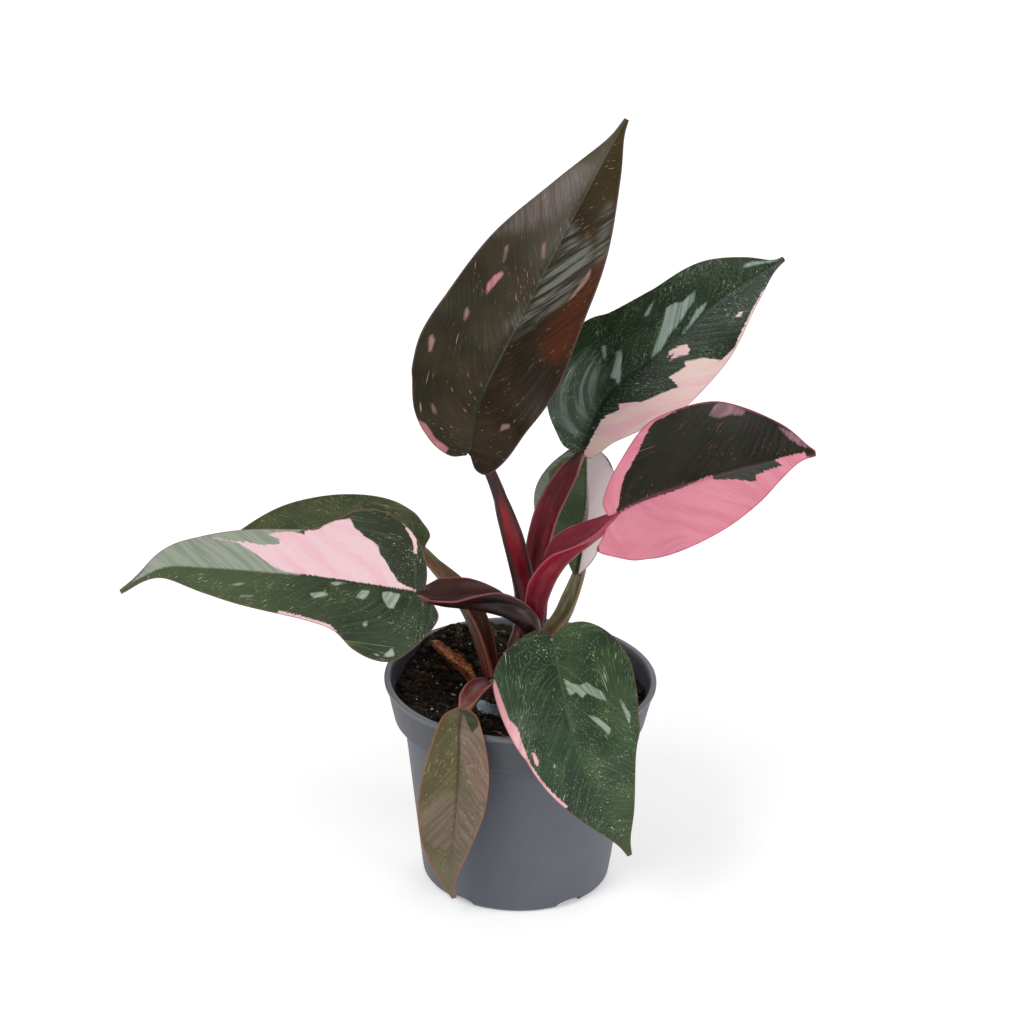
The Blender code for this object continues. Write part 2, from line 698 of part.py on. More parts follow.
def soil_height(x, y):
    """Height of the mix, rough like bark and peat, with its heap at the back left."""
    away = (x - HEAP_CENTRE[0]) ** 2 + (y - HEAP_CENTRE[1]) ** 2
    heap = HEAP_HEIGHT * math.exp(-away / (2 * HEAP_SPREAD**2))
    rough = SOIL_ROUGHNESS * noise.noise(Vector((x, y, 3.0)) / SOIL_GRAIN)
    return SOIL_TOP + heap + rough


def make_soil(finish):
    """The mix fills the pot and has a plain hole for the plug."""
    collar_foot = POT_HEIGHT - COLLAR_DEPTH
    ledge = collar_foot + WALL + GAP
    hole = SLEEVE_RADIUS + GAP
    wall_slope = (WALL_TOP_RADIUS - WALL_FOOT_RADIUS) / (collar_foot - CORNER_RISE)
    foot = FLOOR + 2 * GAP
    foot_radius = BASE_RADIUS - WALL - 2 * GAP
    side = [
        (foot_radius, foot),
        (WALL_FOOT_RADIUS - WALL - GAP, CORNER_RISE + GAP),
        (WALL_TOP_RADIUS - WALL - GAP - wall_slope, ledge),
        (COLLAR_FOOT_RADIUS - WALL - 2 * GAP, ledge),
    ]
    points = []
    for radius, height in side:
        points += ring(radius, height, (0, 0))
    collar_slope = (RIM_RADIUS - COLLAR_FOOT_RADIUS) / COLLAR_DEPTH
    brim = COLLAR_FOOT_RADIUS - WALL - 2 * GAP + collar_slope * (SOIL_TOP - ledge)
    for k in range(SOIL_RINGS):
        share = k / (SOIL_RINGS - 1)
        for n in range(SOIL_SEGMENTS):
            turn = 2 * math.pi * n / SOIL_SEGMENTS
            c, s = math.cos(turn), math.sin(turn)
            x = (1 - share) * brim * c + share * (PLUG_CENTRE[0] + hole * c)
            y = (1 - share) * brim * s + share * (PLUG_CENTRE[1] + hole * s)
            points.append((x, y, soil_height(x, y)))
    bottom = SLEEVE_BOTTOM - GAP
    points += ring(hole, bottom, PLUG_CENTRE)
    rows = len(side) + SOIL_RINGS + 1
    faces = [tuple(range(SOIL_SEGMENTS)), tuple((rows - 1) * SOIL_SEGMENTS + k for k in range(SOIL_SEGMENTS))]
    for i in range(rows - 1):
        for k in range(SOIL_SEGMENTS):
            a, b = i * SOIL_SEGMENTS + k, i * SOIL_SEGMENTS + (k + 1) % SOIL_SEGMENTS
            faces.append((a, b, b + SOIL_SEGMENTS))
            faces.append((a, b + SOIL_SEGMENTS, a + SOIL_SEGMENTS))
    return mesh_object("soil", points, faces, finish)


def ring(radius, height, centre):
    turns = [2 * math.pi * k / SOIL_SEGMENTS for k in range(SOIL_SEGMENTS)]
    return [(centre[0] + radius * math.cos(t), centre[1] + radius * math.sin(t), height) for t in turns]


def make_sleeve(finish):
    """Paper tube round the young plant's plug."""
    inner = SLEEVE_RADIUS - SLEEVE_WALL
    profile = [
        (inner, SLEEVE_BOTTOM), (SLEEVE_RADIUS, SLEEVE_BOTTOM), (SLEEVE_RADIUS, SLEEVE_TOP),
        (inner, SLEEVE_TOP),
    ]
    return mesh_object("plug_sleeve", *turned(profile, PLUG_SEGMENTS, PLUG_CENTRE, closed=True), finish)


def make_plug(finish):
    """The mix inside the sleeve, with a plain hole for the stem."""
    outer = SLEEVE_RADIUS - SLEEVE_WALL - GAP
    hole = STEM_RADII[0] + GAP
    foot = STEM_PATH[0][2] - GAP
    centre = STEM_PATH[0][:2]
    points, count = [], PLUG_SEGMENTS
    for radius, height, middle in (
        (outer, SLEEVE_BOTTOM, PLUG_CENTRE),
        (outer, PLUG_TOP, PLUG_CENTRE),
        (hole + 0.6, PLUG_TOP + 0.5, (STEM_PATH[1][0], STEM_PATH[1][1])),
        (hole, foot, centre),
    ):
        for k in range(count):
            turn = 2 * math.pi * k / count
            points.append((middle[0] + radius * math.cos(turn), middle[1] + radius * math.sin(turn), height))
    faces = [tuple(range(count)), tuple(3 * count + k for k in range(count))]
    for i in range(3):
        for k in range(count):
            a, b = i * count + k, i * count + (k + 1) % count
            faces.append((a, b, b + count, a + count))
    return mesh_object("plug_mix", points, faces, finish)


def make_stem(finish):
    """The short stem, jointed where leaves left it."""
    spine = Spine(STEM_PATH, [(0, -1, 0), (0, -1, 0)])
    points = []
    for i in range(STEM_ROWS + 1):
        share = i / STEM_ROWS
        point, _, normal, right = spine.at(share * spine.length)
        radius = along(STEM_RADII, share)
        for k in range(STEM_SIDES):
            turn = 2 * math.pi * k / STEM_SIDES
            points.append(point + radius * (normal * math.sin(turn) + right * math.cos(turn)))
    faces = [tuple(range(STEM_SIDES)), tuple(STEM_ROWS * STEM_SIDES + k for k in range(STEM_SIDES))]
    for i in range(STEM_ROWS):
        for k in range(STEM_SIDES):
            a, b = i * STEM_SIDES + k, i * STEM_SIDES + (k + 1) % STEM_SIDES
            faces.append((a, b, b + STEM_SIDES, a + STEM_SIDES))
    return mesh_object("stem", points, faces, finish)


def husk():
    """A dry leaf base lying on the mix at the left."""
    return {
        "path": [(-9.6, -0.5, 46.4), (-12.5, 2.5, 48.2), (-16.5, 7.5, 49.6), (-19.5, 12.5, 50.2)],
        "facing": [(0.2, 0.3, 1.0), (0.3, -0.2, 1.0)],
        "core": (0.5, 0.5, 0.4),
        "left": (1.6, 2.6, 2.2, 0.8),
        "right": (1.4, 2.2, 1.8, 0.8),
        "curl_left": (60, 80, 70, 40),
        "curl_right": (60, 70, 60, 40),
    }


def make_husk(finish):
    points, faces = slab(*stalk_grids(husk()))
    return mesh_object("dry_leaf_base", points, faces, finish)


def main():
    clear_scene()
    make_pot(material("pot_plastic", (0.115, 0.125, 0.15), 0.55))
    make_soil(material("potting_mix", (0.018, 0.012, 0.009), 0.95))
    make_sleeve(material("plug_paper", (0.45, 0.5, 0.52), 0.9))
    make_plug(material("plug_peat", (0.022, 0.015, 0.011), 0.95))
    make_stem(material("stem", (0.16, 0.015, 0.03), 0.45))
    make_husk(material("dry_leaf_base", (0.35, 0.14, 0.05), 0.8))
    for name, (shape, color, roughness) in LEAVES.items():
        make_leaf(name, shape(), material(name, color, roughness))


main()
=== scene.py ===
"""The looks of a pink princess philodendron in its 6 cm pot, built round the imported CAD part.

The pot stands on the origin, +Z is up and -Y is the side that the plant is looked at from.
Shapes are worked in millimetres and turned into metres when a mesh is made. Colours are written
as sRGB values of 0 to 255.
"""

import math
import random

import bmesh
import bpy
import numpy as np
from mathutils import Matrix, Vector, noise


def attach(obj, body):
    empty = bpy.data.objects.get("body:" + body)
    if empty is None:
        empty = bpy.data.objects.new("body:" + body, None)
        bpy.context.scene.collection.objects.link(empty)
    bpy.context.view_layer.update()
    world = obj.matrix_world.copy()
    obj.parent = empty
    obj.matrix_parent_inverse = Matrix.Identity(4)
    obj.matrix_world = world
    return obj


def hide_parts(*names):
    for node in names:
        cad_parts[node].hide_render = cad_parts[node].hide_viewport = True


MM = 0.001

# The pot, the same sizes as in the CAD part.
POT_HEIGHT = 48.0
RIM_RADIUS = 30.0
RIM_LIP = 1.3
COLLAR_DEPTH = 9.2
COLLAR_FOOT = POT_HEIGHT - COLLAR_DEPTH
COLLAR_FOOT_RADIUS = 27.7
WALL_TOP_RADIUS = 25.6
WALL_FOOT_RADIUS = 21.1
BASE_RADIUS = 19.8
WALL = 1.0
FLOOR = 1.2
CORNER_RISE = 3.0
POT_SEGMENTS = 192
POT_ROUNDING = 0.35
POT_SHARP_ANGLE = math.radians(35)
NOTCH_COUNT = 5
NOTCH_FIRST = math.radians(-126)
NOTCH_WIDTH = 6.5
NOTCH_HEIGHT = 1.7
NOTCH_DEPTH = 2.6

# The mix, heaped up against the rim at the back left.
SOIL_TOP = 43.6
SOIL_ROUGHNESS = 1.1
SOIL_GRAIN = 4.5
SOIL_RADIUS = 27.6
SOIL_RINGS = 110
SOIL_SEGMENTS = 360
SKIRT_SHRINK = 0.94
SKIRT_FOOT = COLLAR_FOOT + 2
SKIN_GAP = 0.1
HEAP_CENTRE = (-12.0, 21.0)
HEAP_HEIGHT = 5.6
HEAP_SPREAD = 8.0
# How far from the pot's axis loose bits, fibres and the heap's moss may lie.
CRUMB_REACH = 26.6
FIBRE_REACH = 26.8
MOSS_REACH = 26.2
FIBRE_STEPS = 8

# The young plant's plug, a paper sleeve filled with mix.
PLUG_CENTRE = (-3.0, -4.6)
SLEEVE_RADIUS = 6.8
SLEEVE_WALL = 0.7
SLEEVE_BOTTOM = 24.0
SLEEVE_TOP = 46.6
PLUG_TOP = 45.2
PLUG_ROUGHNESS = 0.4
PLUG_RINGS = 34
PLUG_SEGMENTS = 150
PLUG_CLEARANCE = 1.0
SLEEVE_ROWS = 46
SLEEVE_SEGMENTS = 240

STEM_PATH = [(-3.4, -4.4, 28), (-3.2, -4.2, 44), (-2.2, -3.2, 51), (-0.4, -1.4, 58), (0.8, -0.2, 63)]
STEM_RADII = (2.8, 2.7, 2.4, 2.2, 2.0)
STEM_ROWS = 90
STEM_SEGMENTS = 36
STEM_SCARS = 6
STEM_SCAR_SWELL = 0.05
STEM_SKIN_SHARE = 0.95

# Sizes that all blades and petioles share.
BLADE_ROWS = 150
BLADE_COLUMNS = 36
BLADE_THICKNESS = 0.5
EDGE_THICKNESS = 0.16
KEEL_DEPTH = 0.9
KEEL_WIDTH = 0.9
GROOVE_DEPTH = 0.15
GROOVE_WIDTH = 0.55
VEIN_BOW = 0.08
VEIN_SPACING = 2.6
VEIN_SWEEP = 1.2
VEIN_CURVE = 0.025
SWEEP_START = 0.3
VEIN_SWELL = 0.064
VEIN_DRIFT = 0.35
DRIFT_SPACING = 6.0
DENT_DEPTH = 0.18
DENT_SPACING = 9.0
LOBE_LIFT = 0.02
MARGIN_RIPPLES = 2.0
LOWER_RELIEF = 0.6
# Share of the way from midrib to margin beyond which a point counts as the margin itself.
AT_MARGIN = 0.999
LEAF_GLOSS = 0.2
STALK_ROWS = 90
STALK_COLUMNS = 18
STALK_TUCK = 2.5
STALK_RUN_OUT = (5.0, 8.0)
STALK_SINK = 0.6
WING_THICKNESS = 0.7

# The camera, worked out from the ellipses of the pot's rim and foot in the photo.
CAMERA_DISTANCE = 900.0
CAMERA_ELEVATION = math.radians(26.8)
CAMERA_ROLL = math.radians(1.4)
CAMERA_TARGET = np.array([0.0, 0.0, 50.0])
TARGET_OFFSET_PX = (8.6, -156.3)
FOCAL_PX = 4086.0
IMAGE_PX = 1024
SENSOR_MM = 36.0

FLOOR_HALF_SIZE = 3000.0
SKY_STRENGTH = 0.42


# Paths are in millimetres and facing says which way the upper side looks along them. An outline is
# (share of the midrib's length, millimetres from it), fold and curl are degrees from the midrib's foot to
# its end, and wave is (height in millimetres, phase). A stalk has the radius of its core and the reach of
# its wings in millimetres, from its foot to the blade. The points were picked on the photo, placed with the
# fitted camera at guessed depths, thinned and rounded by scratch scripts, and then adjusted by hand.
LEAVES = {
    "leaf_top": {
        "midrib": [(-11.9, -5, 104.6), (-9.8, -3, 115.5), (-3.1, 2, 129), (4.9, 7, 144.7),
            (13.8, 13.5, 161.3), (19.6, 17, 172)],
        "facing": [(-0.4, -0.85, 0.1), (-0.5, -0.8, 0.3), (-0.45, -0.8, 0.35)],
        "left": {
            "outline": [(-0.02, 0.5), (-0.03, 4), (0, 8.6), (0.07, 12.6), (0.13, 14.9), (0.16, 16.2),
                (0.24, 17.7), (0.36, 16.9), (0.57, 13.4), (0.76, 7.6), (0.92, 1.9), (1, 0.5)],
            "fold": (18, 14, 8), "curl": (12, 8, 0), "wave": (0.8, 0.1),
        },
        "right": {
            "outline": [(-0.02, 0.5), (-0.05, 3), (-0.04, 7), (0.06, 12.3), (0.2, 15.6), (0.33, 16.3),
                (0.5, 15), (0.67, 11.7), (0.85, 6), (0.95, 1.8), (1, 0.5)],
            "fold": (18, 14, 8), "curl": (-10, -8, 0), "wave": (0.8, 0.4),
        },
        "stalk": {
            "path": [(1.1, 0.2, 64.4), (0.4, -1.0, 70.5), (-2.0, -1.8, 81), (-4, -1.4, 87.5),
                (-6.1, -1.0, 93.7), (-8.1, -1.4, 98.6), (-10.2, -3, 102), (-11.9, -5, 104.6)],
            "facing": [(0.2, -0.95, 0.2), (0.1, -0.95, 0.2), (-0.1, -0.9, 0.2)],
            "core": (1.4, 1.4, 1.3, 1.2, 1.1),
            "left": (1.8, 2.4, 2.3, 1.3, 1.2, 1.1), "right": (1.8, 2.4, 2.3, 1.3, 1.2, 1.1),
            "curl_left": (80, 60, 50, 20, 0, 0), "curl_right": (80, 60, 50, 20, 0, 0),
        },
    },
    "leaf_upper_right": {
        "midrib": [(12.4, 10, 98.9), (17, 12.5, 109.7), (25.5, 14, 117.5), (33.2, 15.5, 124),
            (41.3, 17, 131.7), (54.5, 19, 140.6)],
        "facing": [(-0.1, -0.9, 0.35), (-0.15, -0.85, 0.45), (-0.1, -0.85, 0.5)],
        "left": {
            "outline": [(-0.02, 0.5), (-0.02, 4), (0.03, 7.5), (0.11, 11.2), (0.22, 14.6), (0.31, 15.3),
                (0.42, 13.3), (0.58, 11.5), (0.75, 9.2), (0.88, 5), (0.96, 1.2), (1, 0.5)],
            "fold": (8, 6, 4), "curl": (-10, -6, 0), "wave": (0.6, 0.0),
        },
        "right": {
            "outline": [(-0.02, 0.5), (-0.02, 2.6), (0.05, 5.4), (0.14, 9.8), (0.28, 12.2), (0.41, 13),
                (0.58, 11.4), (0.72, 9.2), (0.84, 5.3), (0.94, 1.6), (1, 0.5)],
            "fold": (8, 6, 4), "curl": (-16, -10, 0), "wave": (0.6, 0.5),
        },
        "stalk": {
            "path": [(2.9, 3.2, 60.2), (3.2, 4.6, 67.3), (3.6, 5.5, 75.5), (5.2, 7, 84.1), (8.4, 8.8, 91.5),
                (12.4, 10, 98.9)],
            "facing": [(-0.7, -0.7, 0.2), (-0.4, -0.9, 0.2), (-0.3, -0.85, 0.4)],
            "core": (1.4, 1.5, 1.4, 1.2, 0.9),
            "left": (1.8, 2.4, 3.0, 3.2, 3.4, 3.3, 3.2, 2.8, 2.2, 1.0, 0.9),
            "right": (1.8, 2.4, 3.0, 3.1, 3.2, 3.1, 3.0, 2.7, 2.2, 1.0, 0.9),
            "curl_left": (60, 70, 70, 60, 20, 0), "curl_right": (60, 70, 70, 60, 20, 0),
        },
    },
    "leaf_right": {
        "midrib": [(18.8, -10, 92), (23.4, -11, 95.4), (29.9, -13, 99.4), (39.5, -15, 103.9),
            (53, -17, 109.3), (60.8, -18, 111.3)],
        "facing": [(-0.3, -0.85, 0.45), (-0.2, -0.85, 0.5), (0.1, -0.85, 0.5)],
        "left": {
            "outline": [(-0.02, 0.5), (-0.01, 3.4), (0.06, 6.4), (0.15, 9.9), (0.29, 14.9), (0.43, 15.9),
                (0.61, 15.4), (0.74, 12.3), (0.87, 7.2), (0.96, 2.4), (1, 0.6)],
            "fold": (14, 10, 4), "curl": (-16, -12, 0), "wave": (0.6, 0.2),
        },
        "right": {
            "outline": [(-0.02, 0.5), (-0.08, 3.2), (-0.13, 5.2), (-0.07, 8.2), (0.03, 11.4), (0.18, 13),
                (0.34, 13.1), (0.52, 11.4), (0.7, 8.1), (0.82, 4.6), (0.93, 1.4), (1, 0.6)],
            "fold": (10, 8, 4), "curl": (-24, -16, 0), "wave": (0.6, 0.6),
        },
        "stalk": {
            "path": [(1.8, -4.3, 58.5), (2.4, -5.8, 66), (3.4, -7, 73), (5.4, -7.9, 79), (8.8, -8.5, 83.6),
                (13.2, -9.2, 87.4), (18.8, -10, 92)],
            "facing": [(-0.4, 0.9, 0.2), (-0.8, 0.3, 0.4), (-0.7, -0.2, 0.6), (-0.5, -0.4, 0.6)],
            "core": (1.1, 1.6, 2.0, 1.8, 1.0),
            "left": (1.6, 1.9, 2.2, 2.7, 3.2, 3.7, 4.2, 3.7, 2.8, 1.5, 1.0),
            "right": (1.5, 1.8, 2.2, 3.2, 4.2, 4.4, 4.6, 3.9, 2.8, 1.5, 1.0),
            "curl_left": (30, 30, 40, 60, 20, 0), "curl_right": (20, 30, 60, 70, 20, 0),
        },
    },
    "leaf_left": {
        "midrib": [(-22.3, -10, 72.9), (-42, -13, 76.9), (-55.8, -15, 79.1), (-67.3, -16.5, 80.5),
            (-77, -18, 80.9), (-85.7, -20, 76)],
        "facing": [(0.05, -0.7, 0.7), (0.0, -0.6, 0.75), (0.0, -0.45, 0.9)],
        "left": {
            "outline": [(-0.02, 0.5), (-0.05, 2.4), (-0.07, 5.6), (-0.03, 10.2), (0.05, 15.7), (0.12, 16.6),
                (0.2, 14.8), (0.27, 11.4), (0.36, 10), (0.6, 8.2), (0.77, 4.9), (0.9, 1.3), (1, 0.5)],
            "fold": (2, 2, 2), "curl": (-24, -14, 0), "wave": (0.7, 0.1),
        },
        "right": {
            "outline": [(-0.02, 0.5), (-0.02, 4.2), (0, 8.6), (0.05, 13.2), (0.14, 16.7), (0.23, 16.2),
                (0.31, 12.6), (0.39, 10.3), (0.6, 9.1), (0.77, 6.2), (0.9, 1.7), (1, 0.5)],
            "fold": (14, 12, 6), "curl": (-10, -6, 0), "wave": (0.7, 0.4),
        },
        "stalk": {
            "path": [(2.6, -8.6, 62.0), (1.6, -9.8, 66.0), (-2.4, -10.2, 69.8), (-8.6, -9.8, 71.4),
                (-15.4, -9.8, 71.9), (-22.3, -10, 72.9)],
            "facing": [(-0.3, 0.9, 0.1), (0.3, 0.5, 0.8), (0, -0.3, 0.9), (0, -0.6, 0.8)],
            "core": (1.0, 1.5, 1.6, 1.5, 1.0),
            "left": (1.5, 2.0, 2.6, 3.6, 4.6, 4.6, 4.6, 4.2, 3.4, 1.3, 1.0),
            "right": (1.5, 2.0, 2.6, 3.6, 4.6, 4.7, 4.8, 4.5, 3.8, 1.4, 1.0),
            "curl_left": (50, 60, 70, 70, 60, 10), "curl_right": (50, 60, 70, 70, 60, 10),
        },
    },
    "leaf_back_left": {
        "midrib": [(-22.7, 9, 74.7), (-37.1, 12, 75.8), (-51.6, 14, 75.2), (-68.3, 16, 69.9)],
        "facing": [(0.1, -0.5, 0.85), (0.0, -0.45, 0.9), (0.0, -0.3, 0.9)],
        "left": {
            "outline": [(-0.02, 0.5), (-0.05, 3.4), (-0.02, 6.6), (0.08, 10.6), (0.24, 12), (0.5, 10.5),
                (0.7, 7.6), (0.87, 3.6), (0.95, 1.4), (1, 0.5)],
            "fold": (6, 4, 2), "curl": (-20, -14, 0), "wave": (0.5, 0.1),
        },
        "right": {
            "outline": [(-0.02, 0.5), (-0.03, 3.4), (0.02, 6.2), (0.1, 9.3), (0.24, 11.4), (0.5, 9.6),
                (0.68, 7.8), (0.86, 3.9), (0.95, 1.4), (1, 0.5)],
            "fold": (8, 6, 4), "curl": (-14, -8, 0), "wave": (0.5, 0.4),
        },
        "stalk": {
            "path": [(-5.8, -2.8, 49.5), (-7.4, -1.6, 54.7), (-9.3, 0, 60), (-12.2, 2.2, 65.1),
                (-16.4, 5, 69.7), (-22.7, 9, 74.7)],
            "facing": [(0.9, -0.3, 0.3), (0.7, -0.4, 0.6), (0.5, -0.5, 0.7)],
            "core": (1.2, 1.3, 1.3, 1.2, 1.1),
            "left": (1.8, 2.8, 3.0, 2.6, 1.3, 1.2), "right": (1.8, 2.8, 3.0, 2.6, 1.3, 1.2),
            "curl_left": (50, 60, 60, 50, 10, 0), "curl_right": (50, 60, 60, 50, 10, 0),
        },
    },
    "leaf_front": {
        "midrib": [(6.8, -15, 65.2), (8.5, -24, 59.8), (9.9, -30.5, 55.6), (11.7, -34.5, 51.1),
            (14.9, -36.5, 42.6), (24.5, -35, 23.2)],
        "facing": [(0.0, -0.6, 0.8), (0.0, -0.85, 0.5), (0.0, -0.95, 0.3)],
        "left": {
            "outline": [(-0.02, 0.5), (-0.05, 3.6), (-0.05, 8), (0, 12.4), (0.1, 15.7), (0.22, 16.3),
                (0.4, 15.2), (0.58, 12.2), (0.8, 6.4), (0.93, 2), (1, 0.5)],
            "fold": (6, 4, 2), "curl": (-30, -20, 0), "wave": (0.5, 0.2),
        },
        "right": {
            "outline": [(-0.02, 0.5), (-0.04, 3.2), (-0.01, 7.6), (0.05, 12.2), (0.13, 14.4), (0.23, 14.5),
                (0.36, 13.2), (0.55, 9.9), (0.76, 5.5), (0.92, 1.5), (1, 0.5)],
            "fold": (6, 4, 2), "curl": (-30, -20, 0), "wave": (0.5, 0.6),
        },
        "stalk": {
            "path": [(-0.6, -8.2, 50.0), (0.2, -11.2, 56.5), (2.2, -12.8, 61.2), (4.3, -13.6, 63.4),
                (6.4, -15.2, 64.2)],
            "facing": [(0.0, 0.9, 0.3), (-0.1, 0.6, 0.8), (0.0, 0.2, 1.0)],
            "core": (1.4, 1.5, 1.4, 0.8, 0.7),
            "left": (2.2, 4.0, 4.4, 2.6, 0.9, 0.7), "right": (2.2, 4.2, 4.8, 2.6, 0.9, 0.7),
            "curl_left": (50, 40, 30, 30, 0), "curl_right": (60, 60, 55, 40, 0),
        },
    },
    "leaf_hanging": {
        "midrib": [(-12.2, -22, 51), (-12.8, -28.5, 49.9), (-12.8, -32.2, 43.6), (-13.1, -32, 34.6),
            (-13.9, -29.8, 22), (-14.4, -26.5, 11.1), (-13.3, -24.5, 5.5)],
        "facing": [(0.1, -0.3, 0.9), (0.0, -0.9, 0.4), (0.0, -0.95, 0.1), (0.0, -0.95, 0.1)],
        "left": {
            "outline": [(0, 1.1), (0.05, 3.1), (0.15, 5.1), (0.3, 6.7), (0.45, 6.5), (0.57, 5.4),
                (0.7, 3.8), (0.85, 1.9), (0.94, 0.8), (1, 0.5)],
            "fold": (16, 10, 4), "curl": (-10, -6, 0), "wave": (0.4, 0.2),
        },
        "right": {
            "outline": [(0, 1.1), (0.04, 2.4), (0.12, 4.5), (0.24, 6.7), (0.37, 8), (0.5, 8.1), (0.63, 7.1),
                (0.77, 4.8), (0.9, 1.8), (1, 0.5)],
            "fold": (16, 10, 4), "curl": (-10, -6, 0), "wave": (0.4, 0.6),
        },
        "stalk": {
            "path": [(-5.0, -9.0, 49.6), (-7.0, -11.8, 51.8), (-9.8, -16.8, 52.4), (-12.2, -22, 51)],
            "facing": [(0.3, 0.7, 0.7), (0.1, 0.2, 1.0), (0, 0.1, 1.0)],
            "core": (1.2, 1.2, 1.1, 0.9),
            "left": (2.2, 2.5, 2.8, 2.7, 2.4, 1.0, 0.9), "right": (2.2, 2.5, 2.8, 2.7, 2.4, 1.0, 0.9),
            "curl_left": (60, 60, 50, 10), "curl_right": (60, 60, 50, 10),
        },
    },
    "leaf_back": {
        "midrib": [(11.9, 11.5, 67.9), (12.5, 12.5, 71.8), (13.2, 14, 76.5), (13.7, 16, 82.3),
            (13.3, 19, 89), (12.7, 23, 95.1)],
        "facing": [(-0.5, -0.8, 0.3), (-0.5, -0.8, 0.3), (-0.4, -0.8, 0.5)],
        "left": {
            "outline": [(0, 1), (0.05, 2), (0.17, 4.4), (0.28, 8.9), (0.38, 11.5), (0.56, 12), (0.7, 11.3),
                (0.84, 8.2), (0.95, 3.2), (1, 0.6)],
            "fold": (20, 16, 8), "curl": (-10, -6, 0), "wave": (0.4, 0.2),
        },
        "right": {
            "outline": [(0, 1), (0.05, 2.2), (0.16, 4.5), (0.32, 6), (0.48, 7.2), (0.66, 8.2), (0.8, 6.8),
                (0.92, 3.4), (1, 0.6)],
            "fold": (20, 16, 8), "curl": (-10, -6, 0), "wave": (0.4, 0.6),
        },
        "stalk": {
            "path": [(0.6, -0.4, 51.5), (5.2, 2.9, 56), (9.4, 7.2, 60.8), (11.9, 11.5, 67.9)],
            "facing": [(-0.7, -0.5, 0.6), (-0.5, -0.6, 0.6), (-0.3, -0.8, 0.4)],
            "core": (1.0, 1.1, 1.0, 0.9),
            "left": (1.4, 2.0, 2.0, 1.0), "right": (1.4, 2.0, 2.0, 1.0),
            "curl_left": (60, 60, 50, 10), "curl_right": (60, 60, 50, 10),
        },
    },
}


